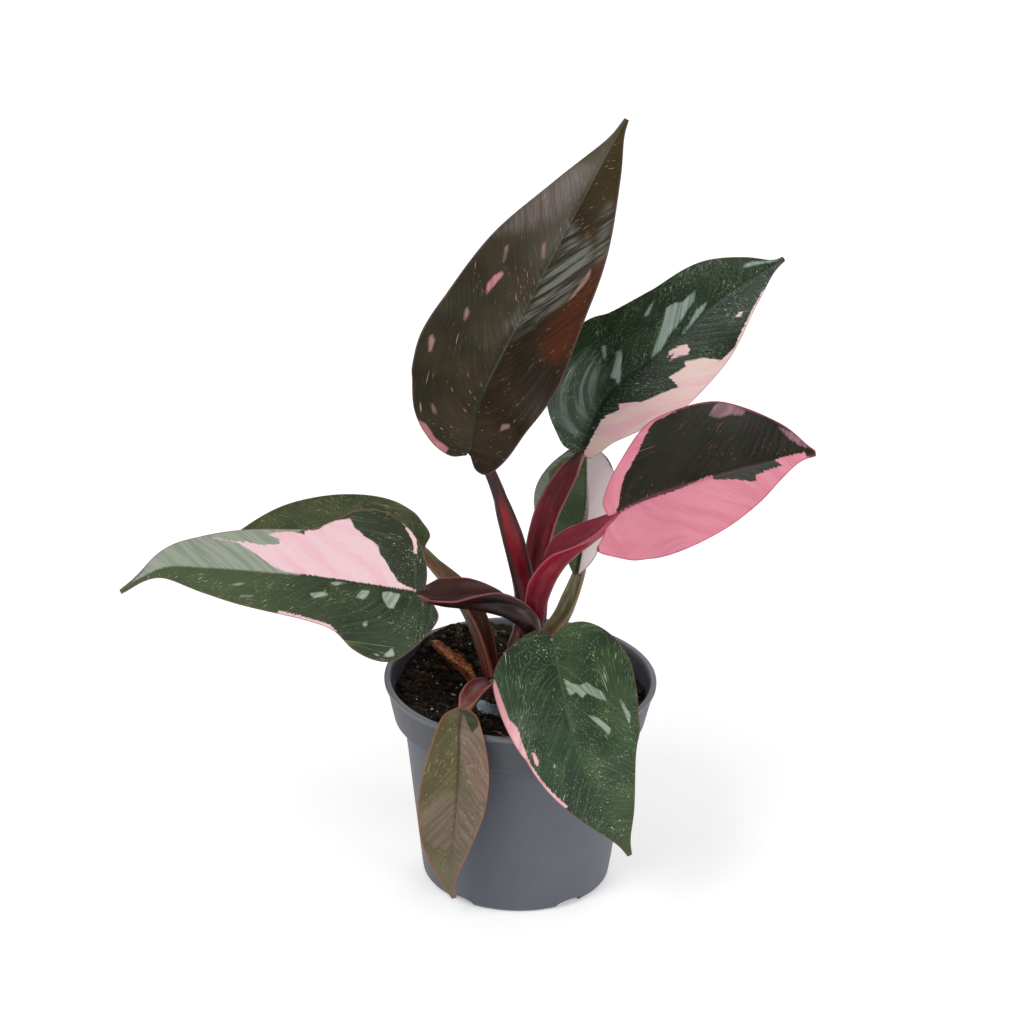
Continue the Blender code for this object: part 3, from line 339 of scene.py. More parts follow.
# Coloured zones of the blades, as (share of the midrib's length, millimetres to its right). Their corners
# were picked by eye on the photo, then put into this measure, thinned and rounded by scratch scripts.
ZONES = {
    "leaf_top": {
        # Painted reflection: a purple-grey sheen laid on the upper left of the blade, near its margin.
        "painted_reflection": [
            [(0.56, -13), (0.62, -7), (0.7, -3), (0.84, -2), (0.83, -5), (0.74, -8), (0.64, -12)],
        ],
        "rust": [
            [(0.65, 10.5), (0.58, 10.5), (0.44, 7), (0.37, 7), (0.33, 9.5), (0.33, 13), (0.38, 15),
             (0.47, 16), (0.65, 12.5)],
        ],
        # Silvery streaks along the veins: partly the leaf's own silver-grey variegation and partly a painted
        # highlight.
        "silver_and_highlight": [
            [(0.68, 0), (0.62, 1), (0.52, 0), (0.45, 0.5), (0.36, -1.5), (0.34, 0.5), (0.41, 5),
             (0.5, 8.5), (0.57, 9.5), (0.65, 9), (0.66, 6), (0.65, 4)],
            [(0.72, 7), (0.62, 10), (0.62, 12), (0.69, 11), (0.75, 8.5), (0.77, 7)],
        ],
        "pink": [
            [(0.06, -12.2), (0.05, -10.1), (0.01, -7.6), (-0.01, -4.5), (-0.03, -5.1), (-0.02, -8.4),
             (0.04, -12.4)],
            [(0.4, -9.1), (0.43, -9.9), (0.46, -9.3), (0.48, -8.2), (0.47, -7.7)],
        ],
        "fleck": [
            [(0.49, 9.3), (0.6, 10.2), (0.58, 11.1), (0.55, 10.8)],
            [(0.31, -10.8), (0.34, -11.7), (0.35, -11.5), (0.34, -10.6), (0.32, -10.4)],
            [(0.2, -14.3), (0.23, -15.7), (0.24, -15.4), (0.23, -14.3), (0.2, -13.6)],
            [(0.08, 7.2), (0.1, 7.3), (0.11, 9.1), (0.1, 9.5)],
            [(0.5, -8.9), (0.54, -10.1), (0.55, -9.6), (0.5, -8.6)],
            [(0.56, -2), (0.59, -3.2), (0.61, -3), (0.56, -1.4)],
            [(0.08, -9), (0.1, -9.9), (0.1, -9.6), (0.09, -8.7), (0.08, -8.3)],
        ],
    },
    "leaf_upper_right": {
        "pale": [
            [(0, -2), (0, -7), (0.06, -10), (0.16, -12), (0.26, -9), (0.24, -4), (0.12, -1.5)],
        ],
        "pink": [
            [(-0.02, 0.5), (0.12, 1.5), (0.2, 4), (0.21, 3), (0.29, 6), (0.43, 8.5), (0.42, 5.5),
             (0.49, 6), (0.5, 5), (0.56, 7), (0.59, 10), (0.66, 10), (0.76, 7.5), (0.88, 3.5),
             (0.89, 4.5), (0.73, 11), (0.42, 14.5), (0.22, 14), (-0.04, 9),
             (-0.06, 0.5)],
            [(0.46, 2.8), (0.49, 2.2), (0.46, 1.8), (0.49, 1), (0.54, 2.4), (0.54, 3.6), (0.52, 4.3),
             (0.49, 3.2)],
            [(0.74, 5.1), (0.76, 4.7), (0.78, 5), (0.76, 5.6)],
        ],
        "grey": [
            [(0.41, 0), (0.57, -6.5), (0.61, -6), (0.63, -5), (0.69, -5), (0.66, -3.5), (0.51, -1.5),
             (0.45, 0)],
            [(0.26, -2.2), (0.33, -5.8), (0.35, -5.7), (0.27, 0.2), (0.26, 0), (0.27, -1.4)],
            [(0.3, -8.8), (0.28, -6.3), (0.29, -6.4), (0.31, -8.5)],
            [(0.86, -3), (0.87, -3.5), (0.9, -3.1), (0.98, -0.3)],
            [(0.55, -0.2), (0.6, -0.7), (0.65, -1.7), (0.69, -1.4), (0.66, -0.6), (0.56, 0.2)],
            [(0.48, -8.2), (0.52, -9.1), (0.56, -9.5), (0.5, -7.9)],
        ],
    },
    "leaf_right": {
        "pink": [
            [(0, 0.5), (0.07, -2), (0.14, -6.5), (0.23, -10), (0.28, -13), (0.33, -15), (0.44, -15.5),
             (0.35, -18), (0.02, -14), (-0.1, -6), (-0.06, -0.5)],
            [(-0.02, 0.5), (0.07, 0), (0.33, 0.5), (0.52, -0.5), (0.52, 0.5), (0.71, 3.5), (0.72, 2),
             (0.84, 1.5), (0.81, 0), (0.95, -0.5), (0.97, 1), (0.62, 11.5), (0.26, 16.5), (-0.14, 8),
             (-0.11, 4)],
        ],
        # Painted highlight: mauve stripes near the left margin and near the tip.
        "mauve_highlight": [
            [(0.58, -12.6), (0.61, -14.2), (0.63, -14.6), (0.68, -14.3), (0.74, -11.5), (0.72, -10.9),
             (0.67, -11.6), (0.62, -11.6)],
            [(0.86, -6.5), (0.91, -4.9), (0.97, -1.4), (0.94, -1.8), (0.89, -3.9)],
        ],
    },
    "leaf_left": {
        "pink": [
            [(0.25, 14), (0.23, 12), (0.15, 8.5), (0.14, 7), (0.07, 1.5), (0, 0), (0.44, 0.5),
             (0.49, 1.5), (0.53, 3.5), (0.6, 6), (0.68, 7), (0.52, 6), (0.47, 6.5), (0.47, 7.5),
             (0.51, 8.5), (0.44, 9.5), (0.39, 9), (0.39, 10), (0.35, 10.5), (0.32, 12.5)],
            [(0.46, -8.5), (0.29, -10), (0.26, -11.5), (0.28, -12), (0.47, -9.5)],
            [(0.08, 14.8), (0.05, 13.2), (0.03, 11.3), (0.02, 8), (0.03, 8.3), (0.04, 11)],
        ],
        "sage": [
            [(0.34, 13), (0.71, 9.5), (0.91, 1), (0.95, 0.5), (0.9, 0), (0.4, 0), (0.42, 9)],
        ],
        "grey": [
            [(0.36, -3.8), (0.35, -4.8), (0.3, -3.8), (0.3, -3.3), (0.32, -3.1)],
            [(0.21, -3.3), (0.19, -1.5), (0.16, -1.3), (0.18, -3.5)],
            [(0.12, -1.3), (0.1, -0.9), (0.06, -1.2), (0.08, -4.7), (0.1, -4.5), (0.12, -2.4)],
            [(0.1, -15.5), (0.07, -13), (0.06, -14.8), (0.08, -15.4)],
            [(0.62, -3.8), (0.59, -3.1), (0.57, -3), (0.59, -3.8)],
            [(0.59, -6.2), (0.54, -5.7), (0.55, -6.2), (0.59, -6.5)],
            [(0.3, -0.9), (0.28, -0.3), (0.24, -0.3), (0.28, -1.3)],
            [(0.18, -8.9), (0.16, -7.9), (0.16, -8.9), (0.17, -9.9)],
        ],
    },
    "leaf_front": {
        "pink": [
            [(0.13, 14), (0.31, 12.5), (0.35, 11), (0.49, 10.5), (0.68, 6.5), (0.68, 8), (0.57, 9.5),
             (0.43, 13), (0.2, 15.5)],
            [(0.45, 9.6), (0.45, 8.9), (0.49, 8.6), (0.51, 8.9), (0.5, 9.5)],
        ],
        "grey": [
            [(0.19, -0.8), (0.27, -1.3), (0.26, -2.9), (0.29, -3.9), (0.27, -5.2), (0.33, -9.2),
             (0.27, -8.4), (0.22, -5.4), (0.23, -4.2), (0.22, -2.4)],
            [(0.31, -11.8), (0.34, -12.5), (0.42, -13.1), (0.45, -12.7), (0.45, -12.1)],
            [(0.37, -4.5), (0.4, -6.5), (0.45, -8.2), (0.47, -7.3), (0.38, -4.4)],
        ],
    },
    "leaf_hanging": {
        "taupe": [
            [(0.03, 0.5), (0.24, -0.5), (0.44, -4.5), (0.42, -7.5), (0.15, -6), (0.07, -3.5)],
        ],
        "notch": [
            [(0, 0.1), (0.05, -3.4), (0.12, -4.1), (0.15, -2.9), (0.11, -1.7)],
        ],
        "bronze": [
            [(0.51, 7.5), (0.45, 5.5), (0.41, 2.5), (0.41, -3.5), (0.44, -6.5), (0.56, -7), (0.68, -5),
             (0.7, -1.5), (0.69, 3.5), (0.63, 7)],
        ],
    },
    "leaf_back": {
        "pale": [
            [(0.85, 0.5), (0.39, -0.5), (0.2, 0.5), (0.02, 0), (0, 0.5), (0.09, 4), (0.42, 8.5),
             (0.71, 8.5), (0.95, 3)],
        ],
        "band": [
            [(0.9, -2.5), (0.87, -5.5), (0.78, -8.5), (0.63, -8.5), (0.38, -10.5), (0.35, -14),
             (0.74, -13), (0.9, -7.5), (0.93, -3)],
        ],
    },
}


# Curves and meshes.


def catmull_rom(knots, count):
    """A smooth curve through the knots, sampled evenly along its length."""
    knots = np.asarray(knots, float)
    ends = np.vstack([2 * knots[0] - knots[1], knots, 2 * knots[-1] - knots[-2]])
    fine = []
    for i in range(len(knots) - 1):
        p0, p1, p2, p3 = ends[i : i + 4]
        for t in np.linspace(0, 1, 24, endpoint=False):
            bend = 2 * p0 - 5 * p1 + 4 * p2 - p3
            fine.append(0.5 * (2 * p1 + (p2 - p0) * t + bend * t**2 + (3 * p1 - p0 - 3 * p2 + p3) * t**3))
    fine = np.array(fine + [knots[-1]])
    steps = np.concatenate([[0], np.cumsum(np.linalg.norm(np.diff(fine, axis=0), axis=1))])
    places = np.linspace(0, steps[-1], count)
    return np.stack([np.interp(places, steps, fine[:, k]) for k in range(fine.shape[1])], axis=1)


def along(values, share):
    """Values read from a short list that is spread evenly over 0 to 1."""
    values = np.asarray(values, float)
    stops = np.linspace(0, 1, len(values))
    if values.ndim == 1:
        return np.interp(share, stops, values)
    return np.stack([np.interp(share, stops, column) for column in values.T], axis=-1)


def unit(vectors):
    return vectors / np.linalg.norm(vectors, axis=-1, keepdims=True)


class Spine:
    """The line that a blade or a petiole follows, with the way its upper side faces."""

    SAMPLES = 240
    TANGENT_REACH = 4

    def __init__(self, knots, facing, reach=None):
        self.points = catmull_rom(knots, self.SAMPLES)
        self.length = float(np.linalg.norm(np.diff(self.points, axis=0), axis=1).sum())
        self.reach = reach or self.length
        self.facing = facing
        last = self.SAMPLES - 1
        steps = np.arange(self.SAMPLES)
        ahead = self.points[np.minimum(steps + self.TANGENT_REACH, last)]
        behind = self.points[np.maximum(steps - self.TANGENT_REACH, 0)]
        self.tangents = unit(ahead - behind)

    def at(self, distance):
        """Points, tangents, upper-side normals and right-hand sides at distances along the spine."""
        distance = np.asarray(distance, float)
        share = np.clip(distance / self.length, 0, 1)
        tangent = unit(along(self.tangents, share))
        point = along(self.points, share) + tangent * (distance - share * self.length)[..., None]
        face = along(self.facing, np.clip(distance / self.reach, 0, 1))
        normal = unit(face - tangent * (face * tangent).sum(-1, keepdims=True))
        return point, tangent, normal, np.cross(tangent, normal)


def bent(distance, fold, curl, width):
    """Outward and upward travel on a sheet that leaves at angle fold and turns by curl over its width."""
    turn = curl * distance / width
    flat = np.abs(turn) < 1e-4
    bend = np.where(flat, 1.0, turn) / np.maximum(distance, 1e-9)
    outward = np.where(flat, distance * np.cos(fold), (np.sin(fold + turn) - np.sin(fold)) / bend)
    upward = np.where(flat, distance * np.sin(fold), (np.cos(fold) - np.cos(fold + turn)) / bend)
    return outward, upward


def soft_noise(points, scale, seed=0.0):
    """Smooth noise of about -1 to 1 at points in millimetres."""
    flat = points.reshape(-1, points.shape[-1])
    values = [noise.noise(Vector((p[0] / scale, p[1] / scale, p[2] / scale + seed))) for p in flat]
    return np.array(values).reshape(points.shape[:-1])


def mesh_object(name, points, faces, finish, values=None):
    """One named, smooth-shaded object from points in millimetres, with values kept at its points."""
    mesh = bpy.data.meshes.new(name)
    mesh.from_pydata((np.asarray(points) * MM).tolist(), [], faces)
    for key, data in (values or {}).items():
        data = np.asarray(data, np.float32)
        kind, field = ("FLOAT_VECTOR", "vector") if data.ndim == 2 else ("FLOAT", "value")
        mesh.attributes.new(key, kind, "POINT").data.foreach_set(field, data.ravel())
    mesh.materials.append(finish)
    mesh.shade_smooth()
    made = bpy.data.objects.new(name, mesh)
    bpy.context.scene.collection.objects.link(made)
    return made


def outward(obj):
    """Turns the faces of a closed mesh so that they all point out."""
    solid = bmesh.new()
    solid.from_mesh(obj.data)
    bmesh.ops.recalc_face_normals(solid, faces=solid.faces)
    solid.to_mesh(obj.data)
    solid.free()
    return obj


def sheet_faces(rows, columns):
    """Faces of a closed sheet whose upper grid of points is followed by its lower one."""
    under = rows * columns
    faces = []
    for i in range(rows - 1):
        for j in range(columns - 1):
            a, b = i * columns + j, i * columns + j + 1
            faces.append((a, b, b + columns, a + columns))
            faces.append((under + a, under + a + columns, under + b + columns, under + b))
    rim = list(range(columns))
    rim += [i * columns + columns - 1 for i in range(1, rows)]
    rim += [(rows - 1) * columns + j for j in range(columns - 2, -1, -1)]
    rim += [i * columns for i in range(rows - 2, 0, -1)]
    for k, a in enumerate(rim):
        b = rim[(k + 1) % len(rim)]
        faces.append((a, under + a, under + b, b))
    return faces


def doubled(values):
    """The same values for the upper and the lower skin of a sheet."""
    return {key: np.concatenate([data, data]) for key, data in values.items()}


def sheet_object(name, upper, lower, values, finish):
    """A closed sheet between an upper and a lower grid of points."""
    points = np.concatenate([upper.reshape(-1, 3), lower.reshape(-1, 3)])
    return outward(mesh_object(name, points, sheet_faces(*upper.shape[:2]), finish, values))


def around(count):
    """Angles spread evenly round a full turn."""
    return np.linspace(0, 2 * math.pi, count, endpoint=False)


def ring_steps(rings, sides):
    """Each point and its neighbour on the same ring, for rings that follow each other in one list."""
    for i in range(rings):
        for k in range(sides):
            yield i * sides + k, i * sides + (k + 1) % sides


def ring_faces(rings, sides):
    """Faces that join a number of rings to the next ones."""
    return [(a, b, b + sides, a + sides) for a, b in ring_steps(rings, sides)]


def turned(profile, segments):
    """Points and faces of a (radius, height) profile, from axis to axis, turned about the pot's axis."""
    points, rows = [], []
    for radius, height in profile:
        if radius == 0:
            rows.append([len(points)] * segments)
            points.append((0.0, 0.0, height))
            continue
        rows.append([len(points) + k for k in range(segments)])
        for turn in around(segments):
            points.append((radius * math.cos(turn), radius * math.sin(turn), height))
    faces = []
    for low, high in zip(rows, rows[1:]):
        for k in range(segments):
            m = (k + 1) % segments
            faces.append(tuple(dict.fromkeys((low[k], low[m], high[m], high[k]))))
    return points, faces


def rounded(profile, radius, steps=4):
    """A profile with each inner corner rounded by a small arc."""
    points = [np.array(p, float) for p in profile]
    done = [profile[0]]
    for before, corner, after in zip(points, points[1:], points[2:]):
        one, two = before - corner, after - corner
        cut = min(radius, 0.45 * np.linalg.norm(one), 0.45 * np.linalg.norm(two))
        start, end = corner + unit(one) * cut, corner + unit(two) * cut
        for t in np.linspace(0, 1, steps + 1):
            done.append(tuple((1 - t) ** 2 * start + 2 * t * (1 - t) * corner + t * t * end))
    done.append(profile[-1])
    return done


# Blades and petioles.


def side_of_blade(spine, half, side):
    """Points of one half of a blade and the way it faces, with each point's place on the flat leaf."""
    outline = catmull_rom(np.array(half["outline"]) * (spine.length, 1), BLADE_ROWS + 1)
    widest = outline[:, 1].max()
    root = (spine.length * np.linspace(0, 1, BLADE_ROWS + 1))[:, None]
    edge_a, edge_x = outline[:, :1], outline[:, 1:]
    share = np.linspace(0, 1, BLADE_COLUMNS + 1)
    v = (0.5 * share**1.6 + 0.5 * (1 - (1 - share) ** 1.5))[None, :]
    a = root + (edge_a - root) * v - VEIN_BOW * edge_x * 4 * v * (1 - v)
    x = edge_x * v
    point, _, normal, right = spine.at(a)
    place = np.clip(a / spine.length, 0, 1)
    fold = np.radians(along(half["fold"], place))
    curl = np.radians(along(half["curl"], place))
    out, lift = bent(x, fold, curl, widest)
    lift = lift + LOBE_LIFT * np.minimum(a, 0) ** 2
    amplitude, phase = half["wave"]
    ripple = np.sin(2 * math.pi * (MARGIN_RIPPLES * place + phase))
    lift = lift + amplitude * (x / widest) ** 2 * ripple
    turn = fold + curl * x / widest
    turn[:, 0] = 0.0
    up = normal * np.cos(turn)[..., None] - right * side * np.sin(turn)[..., None]
    point = point + right * side * out[..., None] + normal * lift[..., None]
    flat = np.stack([a, side * x, np.broadcast_to(root, a.shape)], axis=-1)
    return point, up, flat, np.broadcast_to(v, a.shape)


def blade_surface(leaf):
    """Grids of a blade from its left edge over the midrib to its right edge."""
    spine = Spine(leaf["midrib"], leaf["facing"])
    left = side_of_blade(spine, leaf["left"], -1)
    right = side_of_blade(spine, leaf["right"], 1)
    grids = [np.concatenate([l[:, :0:-1], r], axis=1) for l, r in zip(left, right)]
    return spine, *grids


def vein_place(spine, flat):
    """A value that stays the same along each side vein, which sweeps forward more towards the tip."""
    a, x = flat[..., 0], np.abs(flat[..., 1])
    sweep = np.clip(a / (SWEEP_START * spine.length), 0, 1) * np.clip((spine.length - a) / x.max(), 0, 1)
    return a - (VEIN_SWEEP * x + VEIN_CURVE * x * x) * sweep


def relief(spine, flat, v, seed):
    """How far the upper skin lies above the plain sheet: midrib groove, vein swells and soft dents."""
    a, x, root = flat[..., 0], flat[..., 1], flat[..., 2]
    fade = np.clip(1 - root / spine.length, 0, 1)
    inner = np.clip(np.abs(x) / 1.5, 0, 1) * np.sqrt(np.clip(1 - v**3, 0, 1))
    place = np.stack([a, x, 0 * x], axis=-1)
    drift = VEIN_DRIFT * soft_noise(place, DRIFT_SPACING, seed)
    veins = 1 - np.abs(np.sin(math.pi * (vein_place(spine, flat) / VEIN_SPACING + drift))) ** 0.7
    dents = soft_noise(place, DENT_SPACING, seed + 5)
    groove = GROOVE_DEPTH * np.exp(-((x / GROOVE_WIDTH) ** 2)) * (0.3 + 0.7 * fade)
    return -groove - VEIN_SWELL * veins * inner + DENT_DEPTH * dents * inner


def distance_inside(points, outlines):
    """Distance in millimetres from flat points to the nearest of some outlines, above 0 inside them."""
    best = np.full(len(points), -1e3)
    for outline in outlines:
        corners = np.array(outline, float)
        near = np.full(len(points), 1e3)
        inside = np.zeros(len(points), bool)
        for one, two in zip(corners, np.roll(corners, -1, axis=0)):
            edge = two - one
            share = np.clip(((points - one) @ edge) / max(edge @ edge, 1e-9), 0, 1)
            near = np.minimum(near, np.linalg.norm(points - one - share[:, None] * edge, axis=1))
            rise = two[1] - one[1]
            if abs(rise) > 1e-9:
                crossing = one[0] + (points[:, 1] - one[1]) * edge[0] / rise
                inside ^= ((one[1] > points[:, 1]) != (two[1] > points[:, 1])) & (points[:, 0] < crossing)
        best = np.maximum(best, np.where(inside, near, -near))
    return best


def edge_distance(flat, v, leaf, spine):
    """Distance in millimetres from each flat point to the leaf's margin."""
    points = flat.reshape(-1, 3)[:, :2]
    outline = []
    for side, key in ((-1, "left"), (1, "right")):
        path = catmull_rom(np.array(leaf[key]["outline"]) * (spine.length, 1), 70)
        path[:, 1] *= side
        outline += list(path) if side == -1 else list(path[::-1])
    return np.maximum(distance_inside(points, [outline]), 0) * (v.ravel() < AT_MARGIN)


def make_blade(name, leaf, finish, seed):
    spine, point, up, flat, v = blade_surface(leaf)
    thin = np.clip(1 - v**6, 0, 1)
    thickness = EDGE_THICKNESS + (BLADE_THICKNESS - EDGE_THICKNESS) * thin
    keel_fade = 1 - flat[..., 2] / spine.length
    keel = KEEL_DEPTH * keel_fade * np.exp(-((flat[..., 1] / KEEL_WIDTH) ** 2))
    shift = relief(spine, flat, v, seed)
    upper = point + up * (shift * (v < AT_MARGIN))[..., None]
    lower = point + up * (LOWER_RELIEF * shift * (v < AT_MARGIN) - thickness - keel)[..., None]
    plain = flat.reshape(-1, 3)
    own_noise = np.full(len(plain), 20.0 * seed)
    tone = {
        "sheet": np.column_stack([plain[:, 0], plain[:, 1], own_noise]),
        "vein": np.column_stack([vein_place(spine, plain), plain[:, 1], own_noise]),
        "share": plain[:, 0] / spine.length,
        "aside": plain[:, 1],
        "edge": edge_distance(flat, v, leaf, spine),
    }
    for key, outlines in ZONES.get(name, {}).items():
        scaled = [[(a * spine.length, x) for a, x in outline] for outline in outlines]
        tone["in_" + key] = distance_inside(plain[:, :2], scaled)
    values = doubled(tone)
    values["under"] = np.repeat([0.0, 1.0], len(plain))
    return sheet_object(name + "_blade", upper, lower, values, finish)


def stalk_surface(stalk, spine, reach, wrinkle=0.0, seed=0.0):
    """Upper and lower grids of a petiole, which opens downwards into a winged sheath."""
    distance = np.linspace(0, spine.length, STALK_ROWS + 1)[:, None]
    share = np.clip(distance / reach, 0, 1)
    point, _, normal, right = spine.at(distance)
    taper = np.clip(1 - (distance - reach) / max(spine.length - reach, 1.0), 0.12, 1)
    core = along(stalk["core"], share) * taper
    j = np.arange(-STALK_COLUMNS, STALK_COLUMNS + 1)[None, :]
    side = np.where(j < 0, -1.0, 1.0)
    v = np.sin(0.5 * math.pi * np.abs(j) / STALK_COLUMNS)
    left, right_reach = along(stalk["left"], share), along(stalk["right"], share)
    reached = np.maximum(np.where(j < 0, left, right_reach) * taper, core)
    curl = np.radians(np.where(j < 0, along(stalk["curl_left"], share), along(stalk["curl_right"], share)))
    out, lift = bent(reached * v, 0.0, curl, reached)
    turn = curl * v
    up = normal * np.cos(turn)[..., None] - right * (side * np.sin(turn))[..., None]
    middle = point + right * (side * out)[..., None] + normal * lift[..., None]
    if wrinkle:
        middle = middle + up * (wrinkle * soft_noise(middle, 2.2, seed))[..., None]
    winged = np.minimum((reached - core) / core, 1.0)
    round_half = core * np.sqrt(np.clip(1 - v * v, 0, 1))
    belly = core * np.maximum(0.0, 1 - (reached * v / (1.3 * core)) ** 2)
    above = (1 - winged) * 0.5 * round_half
    below = (1 - winged) * 1.2 * round_half + winged * 1.3 * belly
    thin = WING_THICKNESS * (0.3 + 0.7 * np.sqrt(np.clip(1 - v**4, 0, 1))) * taper
    upper = middle + up * above[..., None]
    lower = middle - up * (below + thin)[..., None]
    values = {
        "share": np.broadcast_to(share, middle.shape[:2]).ravel(),
        "across": np.broadcast_to(side * v, middle.shape[:2]).ravel(),
        "edge": ((1 - v) * reached).ravel(),
    }
    return upper, lower, values


def make_petiole(name, leaf, finish, seed):
    """A petiole whose end runs on under the midrib and fades into its keel."""
    stalk = leaf["stalk"]
    blade = Spine(leaf["midrib"], leaf["facing"])
    ends = []
    for distance in (0.0, STALK_TUCK, *STALK_RUN_OUT):
        point, _, normal, _ = blade.at(distance)
        ends.append(tuple(point - normal * (STALK_SINK + 0.1 * distance)))
    reach = Spine(stalk["path"][:-1] + ends[:2], stalk["facing"]).length
    spine = Spine(stalk["path"][:-1] + ends, stalk["facing"], reach)
    upper, lower, tone = stalk_surface(stalk, spine, reach)
    values = doubled(tone)
    values["under"] = np.repeat([0.0, 1.0], len(tone["share"]))
    values["place"] = np.column_stack([
        values["share"] * reach, values["across"] * 4.0, values["under"] * 3.0 + 20.0 * seed,
    ])
    return sheet_object(name + "_petiole", upper, lower, values, finish)


# Pot, mix, plug, stem and dry leaf base.


def collar_inside(height):
    """Inner radius of the pot's collar at a height."""
    share = (height - COLLAR_FOOT - WALL) / (COLLAR_DEPTH - WALL)
    return COLLAR_FOOT_RADIUS - WALL + share * (RIM_RADIUS - RIM_LIP - COLLAR_FOOT_RADIUS + WALL)


def make_pot(finish):
    profile = [
        (0, 0.5),
        (BASE_RADIUS - 2.2, 0.5),
        (BASE_RADIUS - 1.6, 0),
        (BASE_RADIUS, 0),
        (WALL_FOOT_RADIUS - 0.35, 0.3 * CORNER_RISE),
        (WALL_FOOT_RADIUS, CORNER_RISE),
        (WALL_TOP_RADIUS, COLLAR_FOOT),
        (COLLAR_FOOT_RADIUS, COLLAR_FOOT),
        (RIM_RADIUS - 0.5, POT_HEIGHT - 1.3),
        (RIM_RADIUS, POT_HEIGHT - 0.95),
        (RIM_RADIUS, POT_HEIGHT),
        (RIM_RADIUS - RIM_LIP, POT_HEIGHT),
        (COLLAR_FOOT_RADIUS - WALL, COLLAR_FOOT + WALL),
        (WALL_TOP_RADIUS - WALL, COLLAR_FOOT + WALL),
        (WALL_FOOT_RADIUS - WALL, CORNER_RISE),
        (BASE_RADIUS - WALL, FLOOR),
        (0, FLOOR),
    ]
    points, faces = turned(rounded(profile, POT_ROUNDING), POT_SEGMENTS)
    pot = outward(mesh_object("pot_shell", points, faces, finish))
    for k in range(NOTCH_COUNT):
        cut_notch(pot, NOTCH_FIRST + 2 * math.pi * k / NOTCH_COUNT)
    pot.data.shade_smooth()
    pot.data.set_sharp_from_angle(angle=POT_SHARP_ANGLE)
    return pot


def cut_notch(pot, turn):
    """A drainage notch, open at the foot of the wall."""
    half, top = NOTCH_WIDTH / 2, NOTCH_HEIGHT
    arch = [(half * math.cos(t), 0.5 * top + 0.5 * top * math.sin(t)) for t in np.linspace(0, math.pi, 9)]
    section = [(-half, -1), (half, -1), *arch]
    points = []
    for radius in (BASE_RADIUS - NOTCH_DEPTH + 1, WALL_FOOT_RADIUS + 2):
        for side, height in section:
            x = radius * math.cos(turn) - side * math.sin(turn)
            y = radius * math.sin(turn) + side * math.cos(turn)
            points.append((x, y, height))
    count = len(section)
    faces = [tuple(range(count)), tuple(range(count, 2 * count))]
    faces += [(k, (k + 1) % count, (k + 1) % count + count, k + count) for k in range(count)]
    cutter = outward(mesh_object("notch_cutter", points, faces, pot.data.materials[0]))
    step = pot.modifiers.new("notch", "BOOLEAN")
    step.operation = "DIFFERENCE"
    step.solver = "EXACT"
    step.object = cutter
    cut = bpy.data.meshes.new_from_object(pot.evaluated_get(bpy.context.evaluated_depsgraph_get()))
    pot.modifiers.clear()
    pot.data = cut
    bpy.data.objects.remove(cutter, do_unlink=True)


def soil_height(x, y):
    """Height of the mix, rough like bark and peat, with its heap at the back left."""
    away = (x - HEAP_CENTRE[0]) ** 2 + (y - HEAP_CENTRE[1]) ** 2
    heap = HEAP_HEIGHT * math.exp(-away / (2 * HEAP_SPREAD**2))
    rough = SOIL_ROUGHNESS * noise.noise(Vector((x, y, 3.0)) / SOIL_GRAIN)
    return SOIL_TOP + heap + rough


def crumb_height(x, y):
    """The mix's height with its crumbs."""
    lumps = 0.8 * noise.noise(Vector((x, y, 7.0)) / 2.1)
    crumbs = 0.7 * abs(noise.noise(Vector((x, y, 11.0)) / 1.0))
    grains = 0.3 * noise.noise(Vector((x, y, 17.0)) / 0.45)
    return soil_height(x, y) + lumps + crumbs + grains


def make_mix_surface(finish):
    """The crumbly top of the mix, with a skirt that goes down the pot's wall."""
    inner = SLEEVE_RADIUS + SKIN_GAP
    points = []
    for k in range(SOIL_RINGS):
        share = k / (SOIL_RINGS - 1)
        for turn in around(SOIL_SEGMENTS):
            c, s = math.cos(turn), math.sin(turn)
            brim = collar_inside(soil_height(SOIL_RADIUS * c, SOIL_RADIUS * s)) - SKIN_GAP
            x = (1 - share) * brim * c + share * (PLUG_CENTRE[0] + inner * c)
            y = (1 - share) * brim * s + share * (PLUG_CENTRE[1] + inner * s)
            points.append((x, y, crumb_height(x, y)))
    foot = []
    for x, y, _ in points[:SOIL_SEGMENTS]:
        foot.append((SKIRT_SHRINK * x, SKIRT_SHRINK * y, SKIRT_FOOT))
    return mesh_object("mix_surface", foot + points, ring_faces(SOIL_RINGS, SOIL_SEGMENTS), finish)


def lump_mesh():
    """Points and faces of a small ball, to be squeezed into crumbs."""
    ball = bmesh.new()
    bmesh.ops.create_icosphere(ball, subdivisions=2, radius=1.0)
    points = np.array([v.co for v in ball.verts])
    faces = [tuple(v.index for v in f.verts) for f in ball.faces]
    ball.free()
    return points, faces


def on_mix(draw):
    """A random spot on the mix, clear of the plug."""
    while True:
        x, y = draw.uniform(-27, 27), draw.uniform(-27, 27)
        clear = math.hypot(x - PLUG_CENTRE[0], y - PLUG_CENTRE[1]) > SLEEVE_RADIUS + PLUG_CLEARANCE
        if math.hypot(x, y) < CRUMB_REACH and clear:
            return x, y


